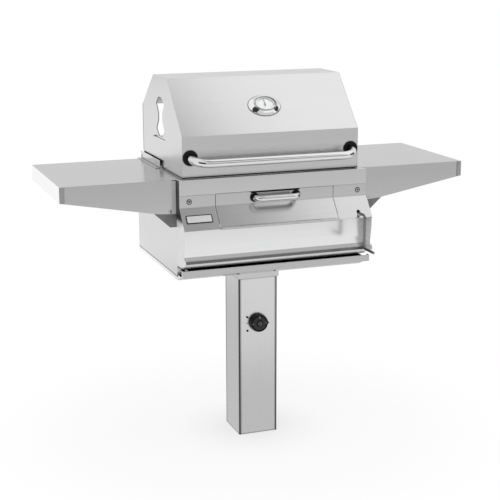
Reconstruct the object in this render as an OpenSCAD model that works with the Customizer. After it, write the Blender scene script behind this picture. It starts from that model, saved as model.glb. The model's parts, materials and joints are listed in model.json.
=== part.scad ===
// Pedestal charcoal grill: a hooded stainless firebox with two side shelves on a square post.
// X runs to the right, -Y is the front, Z is up. The origin is the centre of the post's foot.

/* [Sheet and fits] */
// Thickness of the folded stainless sheet
sheet = 1.5; // [1:0.1:2.5]
// Clearance between pieces that move past each other
gap = 0.3; // [0.2:0.05:0.5]
// Radial clearance of a pin or shaft in its hole
slip = 0.05; // [0.02:0.01:0.09]

/* [Post] */
// Width of the square post
post_w = 150; // [130:1:170]
// Height of the post
post_h = 658; // [560:1:800]
// Wall of the post
post_wall = 3; // [2:0.5:6]
// Height of the sleeve that goes over the post's head
collar_h = 52; // [40:1:80]
// Wall of the sleeve
collar_wall = 5; // [3:0.5:8]
// Play between the sleeve and the post, each side
collar_play = 0.3; // [0.2:0.05:0.6]
// Width of the square flange on the sleeve
flange_w = 240; // [220:1:280]
// Thickness of that flange
flange_t = 4; // [3:0.5:8]
// How far the flange's top stands above the post's head
post_recess = 10; // [8:0.5:20]
// Distance of the flange bolts from the post's centre, along X and Y
bolt_reach = 102; // [98:1:108]

/* [Timer] */
// Height of the timer above the post's foot
timer_z = 439; // [350:1:480]
// Diameter of the timer's round knob
dial_d = 75; // [60:1:90]
// Thickness of the knob's disc
dial_t = 15; // [10:1:20]
// Diameter of the knob's hub
hub_d = 18; // [14:1:24]
// How far the hub stands out of the disc
hub_h = 8; // [6:1:14]
// How far the knob's pointer reaches past the disc's edge
nib_l = 6; // [4:0.5:10]
// Diameter of the timer's shaft
timer_shaft_d = 8; // [6:0.5:10]

/* [Firebox] */
// Width over the side panels
box_w = 704; // [680:2:740]
// Distance from the post's centre to the front edges of the side panels
box_front = 212; // [208:1:214]
// Distance from the post's centre to the back
box_rear = 290; // [288:1:300]
// Height of the firebox from its underside to its rim
box_h = 357; // [352:1:370]
// How far the side panels start above the underside
skirt_gap = 13; // [8:1:16]
// Height of the raised rear part of each side panel
raise_h = 28; // [20:1:29]
// How far the raised part starts behind the post's centre
raise_start = 33; // [33:1:80]
// How far the raised part is set in from the side panel
raise_inset = 14; // [12:0.5:15]
// How far the back stands above the rim
back_rise = 80; // [78:1:84]

/* [Front] */
// Distance from the post's centre to the face of the upper front
front_y = 250.5; // [246:0.5:256]
// Height of the trim strip along the top of the front
trim_h = 53.7; // [45:0.1:60]
// How far the trim stands above the rim
trim_rise = 2.5; // [2:0.1:4]
// Depth of the hem along the trim's top
trim_hem = 10; // [6:0.5:14]
// Height of the upright part of the fascia
fascia_h = 42.6; // [36:0.1:50]
// How far the fascia's sloping part comes forward
slant_run = 55.8; // [50:0.1:60]
// How far the sloping part goes down
slant_drop = 70.3; // [66:0.1:76]
// Depth of the lip under the fascia
lip_d = 13.3; // [11:0.1:16]
// How far the access door's ends are set in from the side panels
door_inset = 131; // [122:1:150]
// Side clearance of the access door
door_play = 1.7; // [1:0.1:3]
// Width of the finger notch in the door's top edge
notch_w = 184; // [140:1:220]
// Depth of that notch
notch_d = 5; // [3:0.5:8]
// How far the lower front panel lies in front of the post's centre
lower_y = 242; // [236:0.5:244]

/* [Ash tray] */
// How far the ash tray's lip reaches past the side panels
tray_lip_over = 1; // [0.5:0.5:4]
// Height of the lip
tray_lip_h = 23; // [18:1:25]
// Distance from the post's centre to the lip's face
tray_front = 285; // [275:1:295]
// How far the tray's sides are set in from the side panels
tray_inset = 22; // [14:1:30]
// Distance from the post's centre to the tray's rear wall
tray_rear = 255; // [200:1:270]

/* [Liner and fire] */
// How far the liner's side walls are set in from the side panels
liner_inset = 34; // [33:1:36]
// Distance from the post's centre to the liner's front wall, inside
liner_front = 205; // [202:1:206]
// Distance from the post's centre to the liner's rear wall, inside
liner_rear = 262; // [260:1:263]
// How far the charcoal pan's walls are set in from the liner
pan_inset = 68; // [64:1:98]
// Depth of the charcoal pan
pan_depth = 60; // [40:1:80]
// Width of the flange round the pan
pan_flange = 35; // [30:1:36]
// Diameter of the lift shafts and of the crank
rod_d = 9.5; // [8:0.5:11]
// How far the lift shafts are set in from the liner's side walls
shaft_inset = 14; // [11:1:16]
// How far the lift shafts lie below the rim
shaft_drop = 149; // [146:1:152]
// Length of the lift arms, from the shaft to the pin
arm_l = 45; // [40:1:48]
// Half of the crank's travel, in degrees
half_turn = 35; // [20:1:35]
// Length of the short levers that the tie bar joins
lever_l = 12; // [10:0.5:14]
// Distance from the post's centre to the crank's hanging arm
crank_y = 345; // [335:1:360]
// Length of the hanging arm
crank_drop = 119; // [90:1:125]
// Length of the crank's grip
grip_l = 75; // [60:1:90]

/* [Cooking grids] */
// Diameter of the grid rods
grid_rod_d = 6; // [4:0.5:8]
// Number of rods in each grid
grid_rods = 16; // [12:1:16]
// How far the grids' underside lies below the rim
grid_drop = 17; // [15:1:24]

/* [Hood] */
// How far the hood's sides are set in from the side panels
hood_inset = 22; // [20:0.5:23]
// Distance from the post's centre to the hood's front wall
hood_front = 218.6; // [216:0.2:222]
// How far the hood's rim stands above the firebox's rim
hood_lift = 2.4; // [2:0.1:4]
// Height of the hood's front wall
hood_front_h = 144.4; // [140:0.1:150]
// Height of the hood
hood_h = 327.3; // [325:0.1:340]
// Depth of the sloping front of the hood
slope_run = 171.5; // [165:0.5:176]
// Depth of the flat top
hood_top_d = 173.2; // [170:0.2:180]
// Depth of the sloping rear
rear_run = 151.9; // [148:0.1:154]
// Height of the hood's rear edge above its rim
rear_edge_h = 203.3; // [195:0.1:208]
// Height of the step in each hood side over the raised part
step_h = 27.6; // [26:0.1:29]
// Distance of the hinge behind the post's centre
hinge_y = 258; // [254:1:260]
// Height of the hinge above the firebox's rim
hinge_rise = 53; // [50:1:56]
// Diameter of the hinge studs
stud_d = 8; // [6:0.5:10]

/* [Hood handle] */
// Diameter of the handle tube
grab_d = 29; // [24:0.5:32]
// How far the handle's feet are set in from the hood's sides
grab_inset = 29; // [28:1:50]
// How far the feet stand above the hood's rim
grab_foot_h = 70.6; // [64:0.2:80]
// How far the bar stands out from the hood's front
grab_out = 61.4; // [55:0.2:70]
// How far the bar lies below the feet
grab_drop = 13; // [8:0.5:16]
// Radius of the handle's bends, on the tube's middle
grab_bend = 58; // [50:0.5:61]
// Diameter of the bezels round the feet
grab_bezel_d = 54; // [48:1:60]

/* [Door handle] */
// Diameter of the door handle's tube
pull_d = 21; // [16:0.5:24]
// Distance between the door handle's feet
pull_feet = 156; // [130:1:180]
// How far the door handle stands out
pull_out = 35; // [32:1:42]
// Radius of its bends
pull_bend = 23; // [20:0.5:26]
// How far its feet lie below the door's top edge
pull_drop = 20.5; // [19:0.5:23]

/* [Hood vents] */
// Width of the lobes of each vent
vent_w = 104; // [90:1:106]
// Width of the vent's waist
vent_waist = 48; // [36:1:60]
// Height of the vent
vent_h = 142; // [120:1:144]
// Distance of the vent behind the post's centre
vent_y = 42; // [36:1:46]
// Height of the vent's middle above the hood's rim
vent_z = 183; // [181:0.5:185]
// Travel of the damper behind the vent
damper_travel = 108; // [107:0.5:109]

/* [Thermometer] */
// Diameter of the thermometer's bezel
gauge_d = 125; // [110:1:135]
// Diameter of its dial
gauge_dial_d = 77; // [65:1:82]
// Height of the domed bezel
gauge_h = 16; // [12:0.5:20]
// Distance of the thermometer up the sloping front
gauge_up = 115; // [105:1:130]
// Length of its stem inside the hood
stem_l = 60; // [40:1:80]

/* [Shelves] */
// Length of each shelf, out from the side panel
shelf_l = 406; // [380:1:430]
// Distance from the post's centre to the shelves' front
shelf_front = 213.8; // [200:0.2:214]
// Distance from the post's centre to the shelves' rear
shelf_rear = 273.4; // [260:0.2:280]
// Depth of the skirt at the shelf's outer end
skirt_end = 55; // [45:1:60]
// Depth of the front skirt near the firebox
skirt_root = 116; // [100:1:120]
// How far the brackets reach below the rim
bracket_drop = 166; // [150:1:180]

/* [Hidden] */
$fn = 96;
// Overrun of every cut past the face that it opens
cut = 1;

// Levels of the firebox
base_z = post_h + post_recess;
rim_z = base_z + box_h;
half_box = box_w / 2;
inner_half = half_box - sheet;

// Fasteners
bolt_r = 5;
bolt_head_r = 9;
bolt_head_h = 6;
screw_r = 2;
screw_play = 0.1;
screw_head_r = 4.5;
screw_head_h = 1.8;
dome_r = 5;
dome_h = 3;
bolt_spots = [[box_rear - 3 * dome_r, rim_z + (raise_h - dome_r) / 2],
    [raise_start + 10 * dome_r, rim_z + raise_h / 2]];

// Timer on the post's front
timer_hole_r = 12;
valve_r = 24;
valve_l = 34;
valve_neck_r = 11;
nib_half_angle = 20;

// Front panel, trim and door, as lines in the plane of Y and Z
trim_top = rim_z + trim_rise;
trim_foot = trim_top - trim_h;
seam = 0.5;
fascia_top = trim_foot - seam;
fascia_bend = fascia_top - fascia_h;
fascia_foot = fascia_bend - slant_drop;
lip_y = -front_y - slant_run;
slant_l = norm([slant_run, slant_drop]);
slant_up = [slant_run, slant_drop] / slant_l;
slant_out = [-slant_drop, slant_run] / slant_l;
fascia_line = [[-front_y, fascia_top], [-front_y, fascia_bend], [lip_y, fascia_foot],
    [lip_y + lip_d, fascia_foot]];

// Piano hinge along the door's foot
screw_inset = 35;
screw_x = half_box - screw_inset;
screw_z = fascia_bend + fascia_h / 2;
barrel_r = 4.5;
pin_r = 2.5;
pin_inset = 1.9;
pin_up = 2.9;
pin_at = [lip_y, fascia_foot] + pin_up * slant_up - pin_inset * slant_out;
door_half = half_box - door_inset;
door_foot_up = barrel_r + 2 * gap;
door_top = fascia_top - 2 * gap;
door_foot = pin_at + pin_inset * slant_out + door_foot_up * slant_up;
door_line = [[-front_y, door_top], [-front_y, fascia_bend], door_foot];
lip_strip_y = pin_at.x + barrel_r + 2 * gap;
outer_knuckle_share = 0.68;
inner_knuckle_share = 0.27;
outer_knuckle = door_half * outer_knuckle_share;
inner_knuckle = door_half * inner_knuckle_share;
door_knuckles = [[-door_half, -outer_knuckle], [-inner_knuckle, inner_knuckle], [outer_knuckle, door_half]];

// Crank slot in the sloping front
slot_play = 1.8;
slot_rise = 5.4;
slot_half_w = rod_d / 2 + slot_play;
slot_half_h = rod_d / 2 + slot_rise;

// Cheeks beside the front, below the fascia
cheek_foot_up = 53;
cheek_foot_z = base_z + cheek_foot_up;
cheek_tab_r = 10;
cheek_shares = [[0.96, 0.22], [0.9, 0.69]];
cheek_foot_share = 0.66;
cheek_tab_share = 2.7;

// Lower front panel
hem_up = 50;
hem_z = base_z + hem_up;
groove_up = 74;
groove_share = 1.5;
hem_run = 15;
groove_depth = 6;

// Tray slot, tray and its rails
pan_wall_h = 20;
tray_gap_z = 25;
tray_z = base_z + tray_gap_z;
tray_wall_h = 20.5;
lip_return = 20;
rail_w = 22;
rail_inset = 40;
rail_x = half_box - tray_inset - rail_inset;

// Liner
liner_foot_up = 52;
liner_foot = base_z + liner_foot_up;
liner_half = half_box - liner_inset;
access_foot_drop = 155;
access_top_drop = 60;
access_half = door_half - 4 * sheet;
access_lo = rim_z - access_foot_drop;
access_hi = rim_z - access_top_drop;
ledge = 12;

// Lift of the charcoal pan
shaft_z = rim_z - shaft_drop;
shaft_x = liner_half - shaft_inset;
rod_r = rod_d / 2;
arm_t = 5;
arm_hub_r = 9;
arm_end_r = 8;
lift_pin_r = 5;
lift_pin_l = 25;
wall_clear = 5;
lift_rest_gap = 0.9;
arm_dx = arm_l * cos(half_turn);
arm_dz = arm_l * sin(half_turn);
pin_x = shaft_x - arm_dx;
pin_z = shaft_z - arm_dz;
pan_top = pin_z + lift_pin_r + lift_rest_gap + sheet;
pan_half = liner_half - pan_inset;
pan_front = liner_front - wall_clear - arm_t - wall_clear - pan_flange;
pan_rear = liner_rear - wall_clear - arm_t - wall_clear - pan_flange;
ash_slots = 9;
ash_slot_w = 8;
ash_slot_share = 0.36;
crank_bend = 12;

// Tie bar behind the liner
lever_waist_share = 0.75;
lever_t = 5;
lever_pin_r = 3;
lever_eye_r = 6;
bar_t = 3;
bar_inset = 16;
bar_half = half_box - bar_inset;
bar_half_h = 22;
eye_play = 0.25;
lever_play = 2.25;
lever_y = liner_rear + sheet + lever_play;
bar_y = lever_y + lever_t + 2 * sheet;
guide_x = 150;
guide_half_w = 14;
guide_wall = 3;

// Cooking grids
grid_margin = 13.7;
grid_half = (liner_half - grid_margin - gap) / 2;
grid_pitch = 2 * grid_half / grid_rods;
grid_bar = 6;
grid_z = rim_z - grid_drop;
grid_end = 5;

// Hinge of the hood
hinge_z = rim_z + hinge_rise;
bracket_t = 3;
stud_flange_r = 10;
stud_flange_t = 3.2;
clip_r = 8;
clip_t = 1.5;
hood_half = half_box - hood_inset;
hood_in = hood_half - sheet;
hinge_face = hood_in - stud_flange_t - gap;
hinge_plate_w = 48;
hinge_plate_h = 50;
hinge_foot_w = 30;
back_half = hinge_face;

// Outline of the hood in the plane of Y and Z
hood_z = rim_z + hood_lift;
hood_rear = slope_run + hood_top_d + rear_run - hood_front;
slope_rise = hood_h - hood_front_h;
slope_angle = atan2(slope_rise, slope_run);
slope_l = norm([slope_run, slope_rise]);
rim_return = 9;
hood_line = [[-hood_front, hood_z], [-hood_front, hood_z + hood_front_h],
    [slope_run - hood_front, hood_z + hood_h],
    [slope_run + hood_top_d - hood_front, hood_z + hood_h],
    [hood_rear, hood_z + rear_edge_h]];
hood_step = [[hood_rear, hood_z + step_h], [raise_start - gap, hood_z + step_h],
    [raise_start - gap, hood_z]];

// Vent, its slot and the damper
vent_round = 7;
vent_mid_z = hood_z + vent_z;
lobe_share = 0.33;
crown_share = 0.34;
neck_share = 0.09;
tab_slot_half_h = 2;
tab_slot_z = vent_mid_z - vent_h / 2 - 3 * tab_slot_half_h;
tab_slot_front = -14;
tab_slot_rear = 119;
tab_w = 10;
tab_t = 2.8;
tab_out = 9;
tab_inset = 4;
damper_t = 1.2;
damper_margin = 8;
damper_rim = 11;
damper_corner = 34;
damper_front = vent_y - vent_w / 2 - damper_margin;
damper_rear = vent_y + vent_w / 2 + damper_travel + damper_margin;
damper_lo = tab_slot_z - 4 * tab_slot_half_h;
damper_hi = vent_mid_z + vent_h / 2 + damper_rim;
guide_t = 1.5;
guide_lap = 6;
guide_front = -92;
guide_rear = 188;

// Handle of the hood
tube_wall = 1.5;
turn = 360;
tube_sides = 28;
bend_steps = 8;
grab_r = grab_d / 2;
grab_tilt = atan2(grab_drop, grab_out);
grab_len = norm([grab_out, grab_drop]);
grab_feet = 2 * (hood_half - grab_inset);
grab_z = hood_z + grab_foot_h;
grab_bezel_h = 9;
bezel_play = 2.2;

// Handle of the door
pull_r = pull_d / 2;
pull_z = door_top - pull_drop;
pull_bezel_r = 16;
pull_bezel_h = 4;

// Thermometer on the sloping front
gauge_r = gauge_d / 2;
gauge_dial_r = gauge_dial_d / 2;
gauge_lip = 1.5;
gauge_edge = 3;
arc_step = 9;
gauge_face = 9;
needle_z = gauge_face + 1;
needle_t = 0.8;
needle_l = 28;
needle_tail = 9;
needle_hub_r = 4;
spindle_r = 1.2;
glass_t = 1.5;
stem_r = 4;
nut_r = 11;
nut_h = 6;

// Shelves
skirt_start = 14;
skirt_bend = 66;
end_return = 16;
notch_r = 4;
bracket_w = 78;
bracket_tip = 23;
bracket_foot = 25;
bracket_bolt_x = 23;
bracket_bolt_drop = 110;

function unit(v) = v / norm(v);
function left_of(a, b) = let (d = unit(b - a)) [-d.y, d.x];
function reversed(list) = [for (i = [len(list) - 1:-1:0]) list[i]];
function corner(a, b, c, t) = let (m = left_of(a, b), n = left_of(b, c)) b + t * (m + n) / (1 + m * n);
// A line of points moved sideways by t, to the left of its direction
function beside(p, t) = let (last = len(p) - 1) [for (i = [0:last])
    i == 0 ? p[0] + t * left_of(p[0], p[1])
    : i == last ? p[last] + t * left_of(p[last - 1], p[last])
    : corner(p[i - 1], p[i], p[i + 1], t)];

// Cross-section of a folded sheet whose outer faces follow the points
module fold(points, t) {
    polygon(concat(points, reversed(beside(points, t))));
}

module along_x(x0, x1) {
    translate([x0, 0, 0]) rotate([90, 0, 90]) linear_extrude(x1 - x0) children();
}

module along_y(y0, y1) {
    translate([0, y1, 0]) rotate([90, 0, 0]) linear_extrude(y1 - y0) children();
}

module box(lo, hi) {
    translate(lo) cube(hi - lo);
}

module rod_x(x0, x1, y, z, r) {
    translate([x0, y, z]) rotate([0, 90, 0]) cylinder(h = x1 - x0, r = r);
}

module rod_y(y0, y1, x, z, r) {
    translate([x, y1, z]) rotate([90, 0, 0]) cylinder(h = y1 - y0, r = r);
}

module both_sides() {
    children();
    mirror([1, 0, 0]) children();
}

// Quarter bend of a rod in the plane of Y and Z, from the angle a to a + 90
module bend(x, y, z, radius, r, a) {
    translate([x, y, z]) rotate([90, 0, 90]) rotate([0, 0, a])
        rotate_extrude(angle = 90) translate([radius, 0]) circle(r);
}

// Domed bolt along Y whose head points to the front
module dome_bolt_y(x, y, z, grip) {
    translate([x, y, z]) rotate([90, 0, 0]) dome_head(dome_r, dome_h);
    rod_y(y, y + grip, x, z, screw_r);
}

module dome_head(r, h) {
    big = (r * r + h * h) / (2 * h);
    intersection() {
        translate([0, 0, h - big]) sphere(big);
        cylinder(h = h, r = r);
    }
}

module post() {
    color("lightgray") difference() {
        box([-post_w / 2, -post_w / 2, 0], [post_w / 2, post_w / 2, post_h]);
        box([-post_w / 2 + post_wall, -post_w / 2 + post_wall, -cut],
            [post_w / 2 - post_wall, post_w / 2 - post_wall, post_h + cut]);
        rod_y(-post_w / 2 - cut, -post_w / 2 + post_wall + cut, 0, timer_z, timer_hole_r);
    }
}

module post_collar() {
    inner = post_w / 2 + collar_play;
    outer = inner + collar_wall;
    flange_z = base_z - flange_t;
    color("silver") difference() {
        union() {
            box([-outer, -outer, flange_z - collar_h], [outer, outer, base_z]);
            box([-flange_w / 2, -flange_w / 2, flange_z], [flange_w / 2, flange_w / 2, base_z]);
        }
        box([-inner, -inner, flange_z - collar_h - cut], [inner, inner, post_h]);
        for (x = [-bolt_reach, bolt_reach], y = [-bolt_reach, bolt_reach])
            translate([x, y, flange_z - cut]) cylinder(h = flange_t + 2 * cut, r = bolt_r + slip);
    }
}

module post_bolts() {
    flange_z = base_z - flange_t;
    color("gray") for (x = [-bolt_reach, bolt_reach], y = [-bolt_reach, bolt_reach])
        translate([x, y, 0]) {
            translate([0, 0, flange_z - bolt_head_h]) cylinder(h = bolt_head_h, r = bolt_head_r, $fn = 6);
            translate([0, 0, flange_z]) cylinder(h = flange_t + sheet + bolt_head_h, r = bolt_r);
            translate([0, 0, base_z + sheet]) cylinder(h = bolt_head_h, r = bolt_head_r, $fn = 6);
        }
}

module timer_valve() {
    wall_y = -post_w / 2 + post_wall;
    color("dimgray") difference() {
        union() {
            rod_y(wall_y, wall_y + valve_l, 0, timer_z, valve_r);
            rod_y(-post_w / 2, wall_y, 0, timer_z, valve_neck_r);
        }
        rod_y(-post_w / 2 - cut, wall_y + valve_l / 2, 0, timer_z, timer_shaft_d / 2 + slip);
    }
}

module timer_knob() {
    back_y = -post_w / 2 - gap;
    rim = dial_d / 2;
    shoulder = rim * [cos(nib_half_angle), sin(nib_half_angle)];
    color("#202020") {
        along_y(back_y - dial_t, back_y) translate([0, timer_z]) {
            circle(rim);
            polygon([[0, 0], [shoulder.x, -shoulder.y], [rim + nib_l, 0], shoulder]);
        }
        rod_y(back_y - dial_t - hub_h, back_y - dial_t, 0, timer_z, hub_d / 2);
        rod_y(back_y, -post_w / 2 + post_wall + valve_l / 4, 0, timer_z, timer_shaft_d / 2);
    }
}

module base_pan() {
    color("lightgray") difference() {
        box([-inner_half, -front_y, base_z], [inner_half, box_rear - sheet, base_z + pan_wall_h]);
        box([sheet - inner_half, sheet - front_y, base_z + sheet],
            [inner_half - sheet, box_rear - 2 * sheet, base_z + pan_wall_h + cut]);
        for (x = [-bolt_reach, bolt_reach], y = [-bolt_reach, bolt_reach])
            translate([x, y, base_z - cut]) cylinder(h = sheet + 2 * cut, r = bolt_r + slip);
    }
}

module side_panel() {
    raise_x = half_box - raise_inset;
    color("silver") difference() {
        union() {
            box([inner_half, -box_front, base_z + skirt_gap], [half_box, box_rear, rim_z]);
            box([inner_half - ledge, -box_front, base_z + pan_wall_h + gap],
                [half_box, sheet - box_front, rim_z - 2 * sheet]);
            box([raise_x - sheet, raise_start, rim_z], [half_box, box_rear, rim_z + sheet]);
            box([raise_x - sheet, raise_start, rim_z], [raise_x, box_rear, rim_z + raise_h]);
        }
        for (p = bolt_spots)
            rod_x(raise_x - sheet - cut, raise_x + cut, p.x, p.y, screw_r + screw_play);
    }
}

module right_side_panel() {
    side_panel();
}

module left_side_panel() {
    mirror([1, 0, 0]) side_panel();
}

module side_bolts() {
    raise_x = half_box - raise_inset;
    color("gray") both_sides() for (p = bolt_spots) {
        translate([raise_x, p.x, p.y]) rotate([0, 90, 0]) dome_head(dome_r, dome_h);
        rod_x(raise_x - 2 * sheet, raise_x, p.x, p.y, screw_r);
    }
}

module back_panel() {
    color("silver") {
        box([-inner_half, box_rear - sheet, base_z], [inner_half, box_rear, rim_z]);
        box([-back_half, box_rear - sheet, rim_z], [back_half, box_rear, rim_z + back_rise]);
    }
}

module lower_front_panel() {
    top = access_lo - 3 * sheet;
    groove_z = base_z + groove_up;
    line = [[-lower_y, top], [-lower_y, groove_z + groove_share * hem_run],
        [groove_depth - lower_y, groove_z], [-lower_y - hem_run, groove_z - hem_run], [-lower_y - hem_run, hem_z]];
    color("lightgray") along_x(-inner_half, inner_half) fold(line, sheet);
}

module cheek() {
    inner = beside(fascia_line, sheet);
    depth = front_y - box_front;
    reach = slant_run + depth;
    drop = inner[2].y - cheek_foot_z;
    tab_at = [-box_front - reach + cheek_tab_r / 2, cheek_foot_z + cheek_tab_share * cheek_tab_r];
    color("silver") along_x(inner_half, half_box) {
        polygon([[-box_front, rim_z - sheet], [sheet - front_y, rim_z - sheet], inner[0], inner[1], inner[2],
            [-box_front - reach * cheek_shares[0].x, inner[2].y - drop * cheek_shares[0].y],
            [-box_front - reach * cheek_shares[1].x + cheek_tab_r / 2, inner[2].y - drop * cheek_shares[1].y],
            [tab_at.x, tab_at.y - cheek_tab_r],
            [-box_front - reach * cheek_foot_share, cheek_foot_z + cheek_tab_r / 2],
            [-box_front, cheek_foot_z]]);
        translate(tab_at) circle(cheek_tab_r);
    }
}

module right_cheek() {
    cheek();
}

module left_cheek() {
    mirror([1, 0, 0]) cheek();
}

module front_panel() {
    opening = door_half + door_play;
    lip_corner = beside(fascia_line, sheet)[2];
    color("silver") difference() {
        union() {
            difference() {
                along_x(-half_box, half_box) fold(fascia_line, sheet);
                box([-opening, lip_y - cut, fascia_foot + sheet], [opening, 0, fascia_top + cut]);
                box([-opening, lip_y - cut, fascia_foot - cut], [opening, lip_strip_y, fascia_top + cut]);
            }
            both_sides() difference() {
                union() {
                    rod_x(inner_knuckle + gap, outer_knuckle - gap, pin_at.x, pin_at.y, barrel_r);
                    box([inner_knuckle + gap, pin_at.x, fascia_foot],
                        [outer_knuckle - gap, lip_strip_y + sheet, fascia_foot + sheet]);
                }
                rod_x(inner_knuckle, outer_knuckle, pin_at.x, pin_at.y, pin_r + slip);
            }
        }
        both_sides() {
            rod_y(-front_y - cut, sheet - front_y + cut, screw_x, screw_z, screw_r + screw_play);
            box([inner_half, lip_corner.x, fascia_foot - cut], [half_box + cut, 0, lip_corner.y]);
        }
        box([shaft_x - slot_half_w, lip_y - cut, shaft_z - slot_half_h + slot_half_w],
            [shaft_x + slot_half_w, -front_y, shaft_z + slot_half_h - slot_half_w]);
        for (s = [-1, 1])
            rod_y(lip_y - cut, -front_y, shaft_x, shaft_z + s * (slot_half_h - slot_half_w), slot_half_w);
    }
}

module top_trim() {
    line = [[-front_y, trim_foot], [-front_y, trim_top], [trim_hem - front_y, trim_top]];
    color("silver") along_x(-half_box, half_box) fold(line, -sheet);
}

module panel_screws() {
    color("gray") both_sides() {
        translate([screw_x, -front_y, screw_z]) rotate([90, 0, 0]) dome_head(screw_head_r, screw_head_h);
        rod_y(-front_y, -front_y + 3 * sheet, screw_x, screw_z, screw_r);
    }
}

module access_door() {
    color("silver") difference() {
        union() {
            along_x(-door_half, door_half) fold(door_line, sheet);
            for (k = door_knuckles) {
                rod_x(k[0], k[1], pin_at.x, pin_at.y, barrel_r);
                along_x(k[0], k[1])
                    fold([door_foot + sheet * slant_up, pin_at + pin_inset * slant_out], sheet);
            }
        }
        rod_x(-door_half - cut, door_half + cut, pin_at.x, pin_at.y, pin_r + slip);
        box([-notch_w / 2, -front_y - cut, door_top - notch_d], [notch_w / 2, 0, door_top + cut]);
    }
}

module door_hinge_pin() {
    color("gray") rod_x(-door_half, door_half, pin_at.x, pin_at.y, pin_r);
}

function quarter_bend(centre, radius, start) = [for (i = [0:bend_steps])
    let (a = start + turn / 4 * i / bend_steps) [centre + radius * [cos(a), sin(a)], a]];
// Middle line of a tube handle with two quarter bends: each entry is a point and the angle of its ring
function handle_line(feet, out, radius, foot) = let (x = feet / 2 - radius, y = radius - out) concat(
    [[[-feet / 2, foot], turn / 2]],
    quarter_bend([-x, y], radius, turn / 2),
    quarter_bend([x, y], radius, turn * 3 / 4),
    [[[feet / 2, foot], turn]]);
function ring_points(line, r) = [for (p = line) for (k = [0:tube_sides - 1]) let (t = turn * k / tube_sides)
    [p[0].x + r * cos(t) * cos(p[1]), p[0].y + r * cos(t) * sin(p[1]), r * sin(t)]];
// Triangles between two closed rings whose first points are number a and number b
function band(a, b) = [for (k = [0:tube_sides - 1]) let (n = (k + 1) % tube_sides)
    each [[a + k, b + k, b + n], [a + k, b + n, a + n]]];

// Tube handle in the plane of X and -Y, its feet at y = foot
module bar_handle(feet, out, radius, r, foot) {
    line = handle_line(feet, out, radius, foot);
    n = tube_sides;
    inner = len(line) * n;
    last = inner - n;
    polyhedron(concat(ring_points(line, r), ring_points(line, r - tube_wall)), concat(
        [for (i = [0:len(line) - 2]) each band(i * n, (i + 1) * n)],
        [for (i = [0:len(line) - 2]) each band(inner + (i + 1) * n, inner + i * n)],
        band(inner, 0), band(last, inner + last)));
}

module door_handle() {
    color("silver") translate([0, -front_y, pull_z]) bar_handle(pull_feet, pull_out, pull_bend, pull_r, 0);
}

module door_handle_bezels() {
    color("black") both_sides() difference() {
        rod_y(-front_y - pull_bezel_h, -front_y, pull_feet / 2, pull_z, pull_bezel_r);
        rod_y(-front_y - pull_bezel_h - cut, -front_y + cut, pull_feet / 2, pull_z, pull_r + slip);
    }
}

module ash_tray() {
    half = half_box - tray_inset;
    lip_half = half_box + tray_lip_over;
    rear = sheet - tray_front;
    color("lightgray") {
        difference() {
            box([-half, rear, tray_z + gap], [half, tray_rear, tray_z + tray_wall_h]);
            box([sheet - half, rear + sheet, tray_z + gap + sheet],
                [half - sheet, tray_rear - sheet, tray_z + tray_wall_h + cut]);
        }
        box([-lip_half, -tray_front, tray_z], [lip_half, rear, tray_z + tray_lip_h]);
        both_sides() box([lip_half - sheet, -tray_front, tray_z],
            [lip_half, lip_return - tray_front, tray_z + tray_lip_h]);
    }
}

module tray_rails() {
    line = [[rail_x, base_z + sheet], [rail_x, tray_z], [rail_x + rail_w, tray_z]];
    color("gray") both_sides() along_y(-box_front, box_rear - 2 * sheet) fold(line, -sheet);
}

module firebox_liner() {
    out = liner_half + sheet;
    color("gray") difference() {
        union() {
            box([-out, -liner_front - sheet, liner_foot], [out, liner_rear + sheet, rim_z]);
            box([-inner_half, sheet - front_y, rim_z - sheet], [inner_half, box_rear - sheet, rim_z]);
        }
        box([-liner_half, -liner_front, liner_foot - cut], [liner_half, liner_rear, rim_z + cut]);
        box([-access_half, -liner_front - sheet - cut, access_lo],
            [access_half, cut - liner_front, access_hi]);
        for (x = [-shaft_x, shaft_x])
            rod_y(-liner_front - sheet - cut, liner_rear + sheet + cut, x, shaft_z, rod_r + slip);
    }
}

module grid_ledges() {
    ledge_z = grid_z - ledge;
    for_front = [[-liner_front, ledge_z], [-liner_front, grid_z], [ledge - liner_front, grid_z]];
    for_rear = [[liner_rear - ledge, grid_z], [liner_rear, grid_z], [liner_rear, ledge_z]];
    color("gray") along_x(-liner_half, liner_half) {
        fold(for_front, -sheet);
        fold(for_rear, -sheet);
    }
}

module charcoal_pan() {
    floor_z = pan_top - pan_depth;
    slot_l = 2 * pan_half * ash_slot_share;
    slot_pitch = (pan_front + pan_rear) / (ash_slots + 1);
    color("dimgray") difference() {
        union() {
            box([-pan_half, -pan_front, floor_z], [pan_half, pan_rear, pan_top]);
            box([-pan_half - pan_flange, -pan_front - pan_flange, pan_top - sheet],
                [pan_half + pan_flange, pan_rear + pan_flange, pan_top]);
        }
        box([sheet - pan_half, sheet - pan_front, floor_z + sheet],
            [pan_half - sheet, pan_rear - sheet, pan_top + cut]);
        for (i = [1:ash_slots], s = [-1, 1])
            translate([s * pan_half / 2, i * slot_pitch - pan_front, floor_z - cut])
                translate([-slot_l / 2, -ash_slot_w / 2, 0]) cube([slot_l, ash_slot_w, sheet + 2 * cut]);
    }
}

// Flat lever from a shaft at the origin to an eye, in the plane of X and Z
module lever_shape(to, hub, eye) {
    side = unit([-to.y, to.x]) * lever_waist_share;
    circle(hub);
    translate(to) circle(eye);
    polygon([hub * side, to + eye * side, to - eye * side, -hub * side]);
}

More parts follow.
